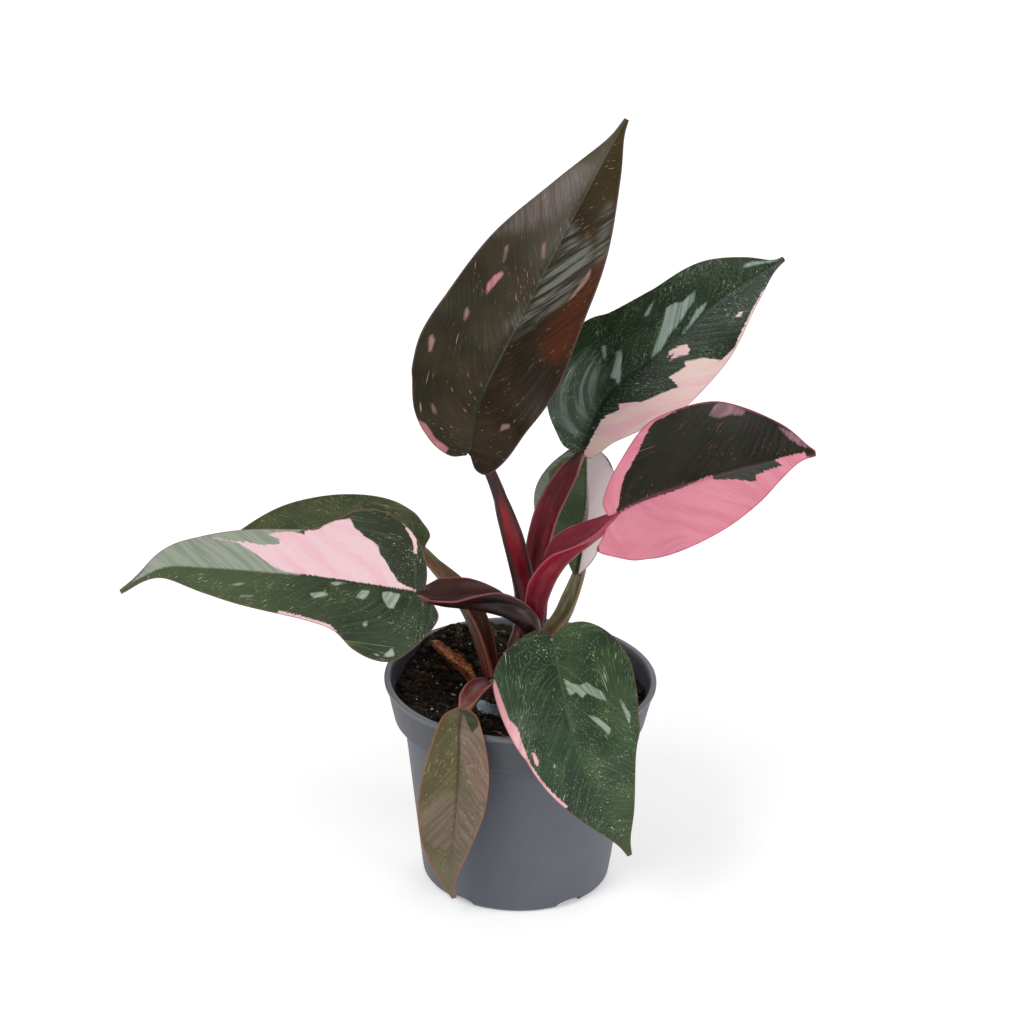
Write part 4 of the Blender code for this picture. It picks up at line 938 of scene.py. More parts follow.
def make_crumbs(name, finish, count, sizes, flatness, seed, spot=on_mix, height=crumb_height):
    """Loose bits lying on the mix, each with its own shape and tone."""
    draw = random.Random(seed)
    ball, ball_faces = lump_mesh()
    points, faces, tones = [], [], []
    for _ in range(count):
        x, y = spot(draw)
        size = draw.uniform(*sizes) * draw.uniform(0.6, 1.0)
        stretch = np.array([1.0, draw.uniform(0.5, 0.9), draw.uniform(*flatness)]) * size
        rough = np.array([1 + 0.45 * noise.noise(Vector(p * 1.3) + Vector((x, y, seed))) for p in ball])
        heading = Matrix.Rotation(draw.uniform(0, 6.3), 3, "Z")
        tilt = Matrix.Rotation(draw.uniform(-0.7, 0.7), 3, "X")
        shaped = (ball * rough[:, None] * stretch) @ np.array(heading @ tilt).T
        base = len(points)
        points += list(shaped + np.array([x, y, height(x, y) + 0.2 * size]))
        faces += [tuple(base + k for k in face) for face in ball_faces]
        tones += [draw.random()] * len(ball)
    return mesh_object(name, points, faces, finish, {"tone": tones})


def tube(path, radius, sides):
    """Points and faces of a thin closed tube along a path."""
    path = np.asarray(path, float)
    tangents = unit(np.gradient(path, axis=0))
    points = []
    for k, (point, tangent) in enumerate(zip(path, tangents)):
        across = unit(np.cross(tangent, (0.3, 0.2, 1.0)))
        over = np.cross(across, tangent)
        thin = radius * (0.45 if k in (0, len(path) - 1) else 1.0)
        for n in range(sides):
            turn = 2 * math.pi * n / sides
            points.append(point + thin * (across * math.cos(turn) + over * math.sin(turn)))
    last = (len(path) - 1) * sides
    ends = [tuple(range(sides - 1, -1, -1)), tuple(range(last, last + sides))]
    return points, ring_faces(len(path) - 1, sides) + ends


def make_fibres(finish, count, seed):
    """Peat and root fibres lying on the mix."""
    draw = random.Random(seed)
    points, faces, tones = [], [], []
    for _ in range(count):
        x, y = on_mix(draw)
        heading, bend = draw.uniform(0, 6.3), draw.uniform(-0.5, 0.5)
        step = draw.uniform(0.4, 0.95)
        path = []
        for _ in range(FIBRE_STEPS):
            if math.hypot(x, y) > FIBRE_REACH:
                break
            path.append((x, y, crumb_height(x, y) + draw.uniform(0.1, 0.6)))
            x, y = x + step * math.cos(heading), y + step * math.sin(heading)
            heading += bend
        if len(path) < 3:
            continue
        made, ends = tube(path, draw.uniform(0.07, 0.16), 6)
        faces += [tuple(len(points) + k for k in face) for face in ends]
        points += made
        tones += [draw.random()] * len(made)
    return mesh_object("mix_fibres", points, faces, finish, {"tone": tones})


def make_sleeve(finish):
    """Crumpled plug paper with a torn upper edge."""
    rows, sides = SLEEVE_ROWS, SLEEVE_SEGMENTS
    points = []
    for wall in (0.0, SLEEVE_WALL - 0.25):
        for i in range(rows + 1):
            for turn in around(sides):
                c, s = math.cos(turn), math.sin(turn)
                torn = 1.1 * abs(noise.noise(Vector((3 * c, 3 * s, 2.0))))
                torn += 0.5 * abs(noise.noise(Vector((14 * c, 14 * s, 5.0))))
                height = SLEEVE_BOTTOM + (SLEEVE_TOP - torn - SLEEVE_BOTTOM) * (i / rows) ** 0.6
                crease = 0.22 * abs(noise.noise(Vector((5 * c, 5 * s, height / 1.5))))
                radius = SLEEVE_RADIUS - wall - crease
                points.append((PLUG_CENTRE[0] + radius * c, PLUG_CENTRE[1] + radius * s, height))
    faces, skin = [], (rows + 1) * sides
    for a, b in ring_steps(rows, sides):
        faces.append((a, b, b + sides, a + sides))
        faces.append((skin + a, skin + a + sides, skin + b + sides, skin + b))
    for k in range(sides):
        for base in (0, rows * sides):
            a, b = base + k, base + (k + 1) % sides
            faces.append((a, b, skin + b, skin + a))
    return outward(mesh_object("plug_paper_tube", points, faces, finish))


def plug_height(x, y):
    return PLUG_TOP + PLUG_ROUGHNESS * (crumb_height(x, y) - SOIL_TOP)


def end_faces(rings, sides):
    """Faces that close the first ring of points and the last one."""
    return [tuple(range(sides)), tuple(rings * sides + k for k in range(sides))]


def make_plug_surface(finish):
    """The plug's mix, crumbly on top."""
    outer = SLEEVE_RADIUS - SLEEVE_WALL - SKIN_GAP
    rings, sides = PLUG_RINGS, PLUG_SEGMENTS
    points = []
    for turn in around(sides):
        x, y = PLUG_CENTRE[0] + outer * math.cos(turn), PLUG_CENTRE[1] + outer * math.sin(turn)
        points.append((x, y, SLEEVE_BOTTOM))
    for i in range(rings):
        for turn in around(sides):
            radius = outer * (1 - i / (rings - 1) * 0.985)
            x, y = PLUG_CENTRE[0] + radius * math.cos(turn), PLUG_CENTRE[1] + radius * math.sin(turn)
            points.append((x, y, plug_height(x, y)))
    faces = end_faces(rings, sides) + ring_faces(rings, sides)
    return outward(mesh_object("plug_surface", points, faces, finish))


def make_stem(finish):
    """The short stem, with a faint ring where each old leaf left it."""
    spine = Spine(STEM_PATH, [(0, -1, 0), (0, -1, 0)])
    rows, sides = STEM_ROWS, STEM_SEGMENTS
    share = np.linspace(0, 1, rows + 1)
    point, _, normal, right = spine.at(share * spine.length)
    ringed = 1 + STEM_SCAR_SWELL * np.cos(2 * math.pi * share * STEM_SCARS) ** 6
    radius = along(STEM_RADII, share) * (STEM_SKIN_SHARE * ringed)
    points = []
    for turn in around(sides):
        points.append(point + radius[:, None] * (normal * math.sin(turn) + right * math.cos(turn)))
    points = np.stack(points, axis=1).reshape(-1, 3)
    faces = end_faces(rows, sides) + ring_faces(rows, sides)
    return outward(mesh_object("stem_skin", points, faces, finish))


HUSK = {
    "path": [(-9.6, -0.5, 46.4), (-12.5, 2.5, 48.2), (-16.5, 7.5, 49.6), (-19.5, 12.5, 50.2)],
    "facing": [(0.2, 0.3, 1.0), (0.3, -0.2, 1.0)],
    "core": (0.5, 0.5, 0.4),
    "left": (1.4, 2.9, 2.6, 2.0, 1.2),
    "right": (1.2, 2.4, 2.8, 1.9, 1.2),
    "curl_left": (50, 60, 30, 50, 40),
    "curl_right": (40, 40, 60, 30, 30),
}


def make_husk(finish):
    """The dry, wrinkled leaf base with ragged edges."""
    ragged = random.Random(8)
    husk = dict(HUSK)
    for key in ("left", "right"):
        coarse = along(HUSK[key], np.linspace(0, 1, 40))
        husk[key] = [width * ragged.uniform(0.62, 1.0) for width in coarse]
    spine = Spine(husk["path"], husk["facing"])
    upper, lower, tone = stalk_surface(husk, spine, spine.length, wrinkle=0.3, seed=4.0)
    return sheet_object("dry_husk", upper, lower, doubled(tone), finish)


# Materials.


def srgb(red, green, blue):
    """A linear colour from sRGB values of 0 to 255."""
    parts = [c / 255 for c in (red, green, blue)]
    return (*[c / 12.92 if c < 0.04045 else ((c + 0.055) / 1.055) ** 2.4 for c in parts], 1.0)


class Graph:
    """A material's nodes, built call by call."""

    def __init__(self, name):
        self.material = bpy.data.materials.new(name)
        self.material.use_nodes = True
        self.tree = self.material.node_tree
        self.shader = self.tree.nodes["Principled BSDF"]

    def put(self, socket, value):
        if isinstance(value, bpy.types.NodeSocket):
            self.tree.links.new(value, socket)
        else:
            socket.default_value = value

    def node(self, kind, inputs, **settings):
        made = self.tree.nodes.new("ShaderNode" + kind)
        for key, value in settings.items():
            setattr(made, key, value)
        for key, value in inputs.items():
            self.put(made.inputs[key], value)
        return made

    def value(self, name):
        return self.node("Attribute", {}, attribute_name=name).outputs["Fac"]

    def vector(self, name):
        return self.node("Attribute", {}, attribute_name=name).outputs["Vector"]

    def place(self):
        """The point's own place, in millimetres."""
        made = self.node("TexCoord", {})
        return self.scaled(made.outputs["Object"], (1 / MM, 1 / MM, 1 / MM))

    def scaled(self, vector, scale):
        return self.node("VectorMath", {0: vector, 1: scale}, operation="MULTIPLY").outputs[0]

    def math(self, operation, a, b=0.0):
        return self.node("Math", {0: a, 1: b}, operation=operation).outputs[0]

    def ramp(self, value, low, high):
        """0 below low and 1 above high, or the other way round, with a smooth step between."""
        inputs = {"Value": value, "From Min": min(low, high), "From Max": max(low, high)}
        made = self.node("MapRange", inputs, interpolation_type="SMOOTHSTEP").outputs["Result"]
        return made if low < high else self.math("SUBTRACT", 1.0, made)

    def mix(self, share, a, b):
        return self.node("Mix", {0: share, 6: a, 7: b}, data_type="RGBA").outputs[2]

    def tint(self, colour, share, amount, over):
        """A colour with another one laid over it, as much as share times amount."""
        return self.mix(self.math("MULTIPLY", share, amount), colour, srgb(*over))

    def noise(self, vector, scale, detail=2.0, roughness=0.5):
        inputs = {"Vector": self.scaled(vector, scale), "Scale": 1.0}
        inputs.update({"Detail": detail, "Roughness": roughness})
        return self.node("TexNoise", inputs).outputs["Fac"]

    def steps(self, value, stops):
        """A colour read from (place, colour) stops."""
        made = self.node("ValToRGB", {"Fac": value})
        band = made.color_ramp
        for _ in stops[2:]:
            band.elements.new(0.5)
        for element, (place, colour) in zip(band.elements, stops):
            element.position = place
            element.color = srgb(*colour)
        return made.outputs["Color"]

    def finish(self, colour, roughness, height=None, depth=0.05, specular=0.5):
        """Ends the material. The bump's depth is in millimetres."""
        self.put(self.shader.inputs["Base Color"], colour)
        self.put(self.shader.inputs["Roughness"], roughness)
        self.shader.inputs["Specular IOR Level"].default_value = specular
        if height is not None:
            bump = self.node("Bump", {"Height": height, "Strength": 1.0, "Distance": depth * MM})
            self.put(self.shader.inputs["Normal"], bump.outputs["Normal"])
        return self.material


def leaf_material(name, look):
    g = Graph(name)
    vein, sheet = g.vector("vein"), g.vector("sheet")
    aside, share, edge = g.value("aside"), g.value("share"), g.value("edge")
    cloud = g.noise(sheet, (0.12, 0.12, 1.0))
    soft = g.ramp(cloud, 0.35, 0.65)
    left = g.mix(soft, srgb(*look["left"][0]), srgb(*look["left"][1]))
    right = g.mix(soft, srgb(*look["right"][0]), srgb(*look["right"][1]))
    colour = g.mix(g.ramp(aside, -0.25, 0.25), left, right)
    if "tip" in look:
        start, end, amount, tint = look["tip"]
        colour = g.tint(colour, g.ramp(share, start, end), amount, tint)
    streak = g.noise(vein, (1.3, 0.14, 1.0), 3.0, 0.6)
    colour = g.tint(colour, g.ramp(streak, 0.5, 0.72), 0.4, look["streak"])
    jag = g.math("SUBTRACT", g.noise(vein, (1.6, 0.2, 1.0), 4.0, 0.6), 0.5)
    plain = None
    for key, main, mottle, jagged, softness, strength, streaks in look["zones"]:
        distance = g.math("ADD", g.value("in_" + key), g.math("MULTIPLY", jag, 4.0 * jagged))
        inside = g.ramp(distance, -softness, softness)
        blotch = g.ramp(g.noise(vein, (streaks, 0.1, 2.0), 3.0, 0.6), 0.42, 0.62)
        patch = g.mix(blotch, srgb(*main), srgb(*mottle))
        colour = g.mix(g.math("MULTIPLY", inside, strength), colour, patch)
        if key in look["unspecked"]:
            kept = g.math("SUBTRACT", 1.0, inside)
            plain = kept if plain is None else g.math("MULTIPLY", plain, kept)
    for tint, size, stretch, threshold, strength in look["specks"]:
        dots = g.noise(vein, (1 / size, 1 / (size * stretch), 1.7), 2.5, 0.55)
        crowd = g.math("MULTIPLY", g.math("SUBTRACT", g.noise(sheet, (0.16, 0.16, 3.0)), 0.5), 0.26)
        mask = g.ramp(g.math("ADD", dots, crowd), threshold, threshold + 0.035)
        mask = g.math("MULTIPLY", mask, strength)
        colour = g.mix(mask if plain is None else g.math("MULTIPLY", mask, plain), colour, srgb(*tint))
    width, tint, amount = look["midrib"]
    rib = g.math("MULTIPLY", g.ramp(g.math("ABSOLUTE", aside), width, 0.3 * width), g.ramp(share, 0.95, 0.2))
    colour = g.tint(colour, rib, amount, tint)
    width, tint, amount = look["margin"]
    wander = g.math("MULTIPLY", g.noise(sheet, (0.3, 0.3, 1.0)), 2.0 * width)
    colour = g.tint(colour, edge_line(g, edge, wander), amount, tint)
    colour = g.tint(colour, g.value("under"), 0.45, look["under"])
    grain = g.noise(sheet, (3.2, 3.2, 1.0), 3.0, 0.6)
    ribs = g.noise(vein, (1.6, 0.1, 1.0), 2.0)
    height = g.math("ADD", grain, g.math("MULTIPLY", ribs, 1.6))
    rough = g.math("ADD", look["roughness"] - 0.06, g.math("MULTIPLY", grain, 0.14))
    return g.finish(colour, rough, height, 0.03, LEAF_GLOSS)


def edge_line(g, edge, width):
    """1 at the very margin of a leaf, fading to 0 at a width that may wander."""
    away = g.math("DIVIDE", edge, g.math("MAXIMUM", width, 0.05))
    return g.math("MAXIMUM", 0.0, g.math("SUBTRACT", 1.0, away))


def petiole_material(name, look):
    g = Graph(name)
    share, edge, place = g.value("share"), g.value("edge"), g.vector("place")
    inside, outside = g.steps(share, look["inside"]), g.steps(share, look["outside"])
    colour = g.mix(g.value("under"), inside, outside)
    lines = g.noise(place, (0.12, 1.6, 1.0), 3.0, 0.6)
    colour = g.tint(colour, g.ramp(lines, 0.48, 0.72), 0.55, look["streak"])
    cloud = g.noise(place, (0.25, 0.5, 1.0), 2.0)
    colour = g.tint(colour, g.ramp(cloud, 0.62, 0.35), 0.4, look["dark"])
    # The tint along the wings' edges: painted shade on the top leaf's petiole, partly a painted highlight on
    # the upper right one.
    tint, width, amount = look["rim"]
    colour = g.tint(colour, g.ramp(edge, width, 0.25 * width), amount, tint)
    grain = g.noise(place, (1.2, 5.0, 1.0), 2.0)
    rough = g.math("ADD", 0.26, g.math("MULTIPLY", lines, 0.2))
    return g.finish(colour, rough, grain, 0.04, 0.3)


def pot_material():
    g = Graph("pot_plastic")
    place = g.place()
    cloud = g.noise(place, (0.05, 0.05, 0.03), 3.0)
    colour = g.mix(g.ramp(cloud, 0.3, 0.7), srgb(78, 82, 90), srgb(87, 91, 99))
    place_z = g.node("SeparateXYZ", {"Vector": place}).outputs["Z"]
    # Painted shade: the collar, from the step up to the rim, is darker than the wall below it.
    collar = g.ramp(place_z, COLLAR_FOOT, COLLAR_FOOT + 0.6)
    colour = g.tint(colour, collar, 0.55, (58, 60, 66))
    # Painted highlight: the top of the rim is lighter, where its lip catches the light.
    brim = g.ramp(place_z, POT_HEIGHT - 1.4, POT_HEIGHT - 0.4)
    colour = g.tint(colour, brim, 0.65, (116, 119, 124))
    scuffs = g.ramp(g.noise(place, (0.4, 0.4, 2.4), 4.0, 0.65), 0.63, 0.72)
    colour = g.tint(colour, scuffs, 0.16, (168, 172, 180))
    dust = g.ramp(g.noise(place, (2.2, 2.2, 2.2), 2.0), 0.7, 0.76)
    colour = g.tint(colour, dust, 0.2, (180, 182, 186))
    grain = g.noise(place, (5.0, 5.0, 5.0), 2.0)
    flow = g.noise(place, (0.5, 0.5, 0.05), 2.0)
    relief = g.math("ADD", grain, g.math("MULTIPLY", flow, 1.5))
    rough = g.math("ADD", 0.46, g.math("MULTIPLY", cloud, 0.14))
    return g.finish(colour, rough, relief, 0.03, 0.4)


def mix_material(name, specks=0.5):
    g = Graph(name)
    place = g.place()
    clods = g.noise(place, (0.55, 0.55, 0.55), 5.0, 0.65)
    soils = [(0.3, (14, 11, 10)), (0.5, (34, 25, 19)), (0.68, (60, 42, 29)), (0.8, (96, 68, 44))]
    colour = g.steps(clods, soils)
    pale = g.ramp(g.noise(place, (1.9, 1.9, 1.9), 3.0, 0.6), 0.69, 0.73)
    colour = g.tint(colour, pale, specks, (190, 178, 156))
    grain = g.noise(place, (4.0, 4.0, 4.0), 4.0, 0.7)
    return g.finish(colour, 0.92, grain, 0.35, 0.25)


def crumb_material(name, stops):
    g = Graph(name)
    place = g.place()
    colour = g.steps(g.value("tone"), stops)
    stain = g.ramp(g.noise(place, (1.8, 1.8, 1.8), 4.0, 0.65), 0.42, 0.66)
    colour = g.tint(colour, stain, 0.6, stops[0][1])
    grain = g.noise(place, (5.0, 5.0, 5.0), 3.0, 0.65)
    return g.finish(colour, 0.9, grain, 0.2, 0.3)


def paper_material():
    g = Graph("plug_paper")
    place = g.place()
    fibres = g.noise(place, (1.4, 1.4, 6.0), 5.0, 0.7)
    crossing = g.noise(place, (6.0, 6.0, 1.2), 5.0, 0.7)
    weave = g.math("MAXIMUM", fibres, crossing)
    colour = g.steps(weave, [(0.42, (84, 100, 112)), (0.56, (160, 178, 188)), (0.7, (226, 236, 240))])
    dirt = g.ramp(g.noise(place, (0.7, 0.7, 0.7), 3.0), 0.52, 0.66)
    colour = g.tint(colour, dirt, 0.5, (60, 52, 44))
    return g.finish(colour, 0.85, weave, 0.25, 0.3)


def husk_material():
    g = Graph("dry_husk")
    place = g.place()
    lines = g.noise(place, (0.8, 0.8, 3.4), 5.0, 0.7)
    browns = [(0.36, (70, 34, 14)), (0.48, (150, 80, 32)), (0.6, (196, 118, 56)), (0.74, (226, 172, 110))]
    colour = g.steps(lines, browns)
    colour = g.tint(colour, g.ramp(g.value("edge"), 0.5, 0.05), 0.6, (60, 32, 18))
    return g.finish(colour, 0.7, lines, 0.3, 0.3)


def stem_material():
    g = Graph("stem_skin")
    place = g.place()
    lines = g.noise(place, (2.0, 2.0, 0.25), 3.0, 0.6)
    colour = g.steps(lines, [(0.38, (46, 18, 20)), (0.55, (96, 32, 38)), (0.72, (132, 70, 62))])
    return g.finish(colour, 0.42, lines, 0.1)


def floor_material():
    g = Graph("pale_floor")
    place = g.place()
    haze = g.noise(place, (0.004, 0.004, 0.004), 2.0)
    colour = g.mix(haze, srgb(244, 244, 244), srgb(250, 250, 250))
    g.put(g.shader.inputs["Emission Color"], (1.0, 1.0, 1.0, 1.0))
    g.put(g.shader.inputs["Emission Strength"], 0.3)
    return g.finish(colour, 0.9, None, 0.0, 0.1)


# What each blade looks like. Zones are (key in ZONES, colour, mottle, jag, softness, strength, streaks),
# specks are (colour, size, stretch along the veins, threshold, strength), and the midrib and the margin are
# (width, colour, strength).
BLADE_LOOKS = {
    "leaf_top": {
        "left": ((36, 32, 20), (50, 42, 25)),
        "right": ((30, 20, 8), (42, 29, 12)),
        "tip": (0.55, 1.0, 0.6, (70, 60, 26)),
        "streak": (66, 56, 38),
        "zones": [
            ("rust", (80, 34, 10), (58, 27, 10), 0.54, 2.4, 0.8, 0.5),
            # Silvery streaks: partly the leaf's own variegation and partly a painted highlight.
            ("silver_and_highlight", (44, 42, 28), (118, 120, 112), 0.4, 2.2, 0.8, 0.55),
            # Painted reflection: the purple-grey sheen on the upper left of the blade.
            ("painted_reflection", (112, 100, 98), (84, 72, 66), 0.6, 1.8, 0.55, 0.5),
            ("fleck", (150, 116, 112), (128, 98, 92), 0.15, 0.3, 0.9, 0.5),
            ("pink", (182, 122, 128), (160, 104, 110), 0.11, 0.25, 0.9, 0.5),
        ],
        "unspecked": (),
        "specks": [
            ((172, 128, 108), 0.45, 4.0, 0.68, 0.85),
            ((112, 88, 54), 0.3, 3.0, 0.67, 0.5),
        ],
        "midrib": (1.2, (44, 50, 34), 0.35),
        "margin": (0.35, (96, 66, 70), 0.7),
        "under": (92, 52, 50),
        "roughness": 0.3,
    },
    "leaf_upper_right": {
        "left": ((26, 40, 23), (37, 53, 32)),
        "right": ((19, 32, 20), (30, 45, 29)),
        "streak": (72, 92, 70),
        "zones": [
            ("pale", (64, 78, 66), (114, 126, 116), 0.5, 2.2, 0.9, 0.8),
            ("grey", (150, 166, 158), (112, 132, 120), 0.23, 0.25, 0.85, 1.2),
            ("pink", (226, 200, 190), (228, 182, 188), 0.36, 0.12, 1.0, 0.3),
        ],
        "unspecked": ("pink",),
        "specks": [
            ((140, 158, 128), 0.24, 1.7, 0.62, 0.6),
            ((186, 192, 172), 0.42, 2.4, 0.68, 0.8),
        ],
        "midrib": (0.5, (18, 30, 24), 0.7),
        "margin": (0.25, (120, 84, 84), 0.6),
        "under": (70, 84, 70),
        "roughness": 0.36,
    },
    "leaf_right": {
        "left": ((20, 20, 11), (30, 29, 17)),
        "right": ((20, 20, 11), (30, 28, 17)),
        "streak": (58, 48, 38),
        "zones": [
            # Painted highlight: mauve stripes near the left margin and the tip.
            ("mauve_highlight", (150, 112, 122), (120, 88, 96), 0.27, 0.3, 0.85, 0.7),
            ("pink", (208, 130, 146), (202, 118, 136), 0.41, 0.12, 1.0, 0.3),
        ],
        "unspecked": ("pink",),
        "specks": [
            ((164, 92, 84), 0.4, 3.4, 0.68, 0.8),
            ((92, 80, 60), 0.34, 3.0, 0.68, 0.5),
        ],
        "midrib": (0.5, (120, 60, 74), 0.5),
        "margin": (0.4, (170, 76, 98), 0.8),
        "under": (150, 84, 92),
        "roughness": 0.36,
    },
    "leaf_left": {
        "left": ((38, 48, 30), (50, 62, 40)),
        "right": ((40, 47, 34), (52, 60, 44)),
        "tip": (0.2, 0.65, 0.6, (84, 98, 66)),
        "streak": (84, 98, 70),
        "zones": [
            ("sage", (148, 154, 140), (126, 138, 120), 0.23, 0.3, 1.0, 0.7),
            ("grey", (164, 176, 160), (132, 148, 128), 0.18, 0.2, 0.85, 1.2),
            ("pink", (226, 192, 198), (226, 180, 188), 0.41, 0.12, 1.0, 0.3),
        ],
        "unspecked": ("pink", "sage"),
        "specks": [
            ((140, 152, 116), 0.22, 1.6, 0.63, 0.5),
            ((188, 190, 172), 0.4, 2.6, 0.68, 0.8),
        ],
        "midrib": (0.35, (40, 50, 32), 0.5),
        "margin": (0.3, (140, 88, 84), 0.75),
        "under": (96, 100, 78),
        "roughness": 0.38,
    },
    "leaf_back_left": {
        "left": ((60, 68, 42), (80, 88, 56)),
        "right": ((52, 60, 38), (70, 78, 50)),
        "streak": (112, 122, 82),
        "zones": [],
        "unspecked": (),
        "specks": [
            ((164, 164, 112), 0.26, 1.6, 0.62, 0.55),
            ((196, 188, 156), 0.42, 2.4, 0.7, 0.75),
        ],
        "midrib": (0.5, (150, 150, 120), 0.5),
        "margin": (0.3, (128, 84, 70), 0.7),
        "under": (92, 98, 74),
        "roughness": 0.38,
    },
    "leaf_front": {
        "left": ((38, 56, 36), (54, 74, 46)),
        "right": ((32, 50, 34), (46, 66, 44)),
        "tip": (0.75, 1.0, 0.5, (74, 78, 44)),
        "streak": (92, 112, 82),
        "zones": [
            ("grey", (158, 170, 152), (120, 138, 116), 0.23, 0.2, 0.85, 1.2),
            ("pink", (226, 172, 178), (212, 150, 156), 0.23, 0.15, 1.0, 0.3),
        ],
        "unspecked": ("pink",),
        "specks": [
            ((138, 150, 112), 0.24, 1.7, 0.61, 0.55),
            ((196, 200, 176), 0.42, 2.4, 0.68, 0.85),
        ],
        "midrib": (0.4, (70, 88, 58), 0.5),
        "margin": (0.3, (112, 74, 60), 0.7),
        "under": (92, 98, 74),
        "roughness": 0.38,
    },
    "leaf_hanging": {
        "left": ((78, 74, 54), (96, 88, 66)),
        "right": ((78, 74, 46), (96, 90, 56)),
        "tip": (0.55, 1.0, 0.55, (112, 96, 84)),
        "streak": (134, 112, 92),
        "zones": [
            ("bronze", (96, 84, 70), (116, 100, 86), 0.41, 0.8, 0.8, 0.7),
            ("taupe", (108, 90, 78), (130, 106, 94), 0.23, 0.6, 0.9, 1.0),
            ("notch", (46, 56, 36), (58, 66, 42), 0.14, 0.2, 1.0, 0.7),
        ],
        "unspecked": ("notch",),
        "specks": [
            ((170, 150, 116), 0.36, 2.4, 0.63, 0.55),
            ((196, 152, 130), 0.6, 3.4, 0.72, 0.7),
        ],
        "midrib": (0.5, (60, 44, 34), 0.7),
        "margin": (0.4, (158, 92, 62), 0.85),
        "under": (120, 92, 76),
        "roughness": 0.42,
    },
    "leaf_back": {
        "left": ((76, 94, 66), (94, 112, 82)),
        "right": ((96, 114, 90), (116, 132, 106)),
        "streak": (104, 120, 92),
        "zones": [
            ("band", (150, 162, 142), (132, 150, 124), 0.23, 0.3, 0.9, 0.7),
            ("pale", (255, 244, 244), (255, 238, 240), 0.27, 0.15, 1.0, 0.4),
        ],
        "unspecked": ("pale",),
        "specks": [
            ((150, 166, 128), 0.4, 2.8, 0.64, 0.7),
        ],
        "midrib": (0.8, (34, 50, 32), 0.9),
        "margin": (0.3, (120, 88, 76), 0.6),
        "under": (140, 120, 108),
        "roughness": 0.4,
    },
}

# What each petiole looks like from its foot to the blade, inside its channel and outside it.
PETIOLE_LOOKS = {
    "leaf_top": {
        "inside": [
            (0.0, (84, 10, 20)), (0.3, (128, 16, 30)), (0.56, (130, 18, 32)), (0.64, (42, 20, 19)),
            (1.0, (40, 30, 22)),
        ],
        "outside": [(0.0, (88, 22, 32)), (0.5, (58, 26, 28)), (1.0, (60, 42, 32))],
        "streak": (140, 36, 52),
        "dark": (42, 17, 17),
        # Painted shade: a wide dark band along the wings' edges, which leaves the channel's middle as a
        # brighter band.
        "rim": ((50, 22, 22), 1.1, 0.9),
    },
    "leaf_upper_right": {
        "inside": [
            (0.0, (104, 18, 34)), (0.5, (128, 28, 42)), (0.8, (112, 34, 44)),
            (0.88, (50, 40, 34)), (1.0, (54, 56, 42)),
        ],
        "outside": [
            (0.0, (88, 24, 34)), (0.5, (96, 40, 48)), (0.8, (86, 40, 44)),
            (0.88, (50, 40, 34)), (1.0, (54, 56, 42)),
        ],
        "streak": (152, 84, 88),
        "dark": (58, 22, 28),
        # The pink rim along the wings is partly their own pink edge and partly a painted highlight.
        "rim": ((156, 92, 96), 0.45, 0.8),
    },
    "leaf_right": {
        "inside": [(0.0, (84, 14, 26)), (0.4, (104, 22, 36)), (0.8, (110, 30, 44)), (1.0, (150, 54, 74))],
        "outside": [(0.0, (52, 8, 14)), (0.3, (90, 15, 27)), (0.6, (128, 22, 40)), (1.0, (158, 50, 72))],
        "streak": (164, 38, 62),
        "dark": (96, 12, 30),
        "rim": ((168, 76, 88), 0.3, 0.6),
    },
    "leaf_left": {
        "inside": [(0.0, (58, 16, 16)), (0.5, (60, 22, 18)), (1.0, (48, 32, 24))],
        "outside": [(0.0, (32, 10, 11)), (0.5, (20, 10, 9)), (1.0, (36, 27, 20))],
        "streak": (84, 36, 32),
        "dark": (40, 16, 16),
        "rim": ((150, 72, 82), 0.28, 0.65),
    },
    "leaf_back_left": {
        "inside": [(0.0, (104, 30, 36)), (0.4, (92, 60, 40)), (1.0, (112, 104, 66))],
        "outside": [(0.0, (92, 24, 32)), (0.4, (84, 58, 40)), (1.0, (104, 100, 62))],
        "streak": (136, 104, 66),
        "dark": (58, 36, 24),
        "rim": ((150, 88, 62), 0.4, 0.7),
    },
    "leaf_front": {
        "inside": [(0.0, (104, 26, 32)), (0.6, (96, 30, 32)), (1.0, (116, 70, 60))],
        "outside": [(0.0, (112, 42, 42)), (0.6, (128, 66, 60)), (1.0, (150, 102, 90))],
        "streak": (150, 88, 80),
        "dark": (66, 22, 24),
        "rim": ((196, 122, 122), 0.5, 0.8),
    },
    "leaf_hanging": {
        "inside": [(0.0, (104, 34, 36)), (0.6, (112, 52, 48)), (1.0, (128, 92, 74))],
        "outside": [(0.0, (120, 56, 52)), (0.6, (132, 76, 66)), (1.0, (138, 104, 84))],
        "streak": (156, 98, 86),
        "dark": (70, 30, 28),
        "rim": ((176, 112, 100), 0.4, 0.7),
    },
    "leaf_back": {
        "inside": [(0.0, (98, 52, 40)), (0.5, (112, 104, 66)), (1.0, (96, 104, 66))],
        "outside": [(0.0, (92, 44, 36)), (0.5, (104, 98, 62)), (1.0, (92, 100, 62))],
        "streak": (206, 196, 160),
        "dark": (62, 62, 38),
        "rim": ((140, 100, 76), 0.35, 0.6),
    },
}


# The scene.


def stand_in(piece, node):
    """The piece moves with the part's one body and is shown in place of a CAD node."""
    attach(piece, "root")
    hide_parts(node)


def plug_spot(draw):
    """A random spot on the plug, beside the stem."""
    radius, turn = draw.uniform(3.2, 5.4), draw.uniform(0, 2 * math.pi)
    return PLUG_CENTRE[0] + radius * math.cos(turn), PLUG_CENTRE[1] + radius * math.sin(turn)


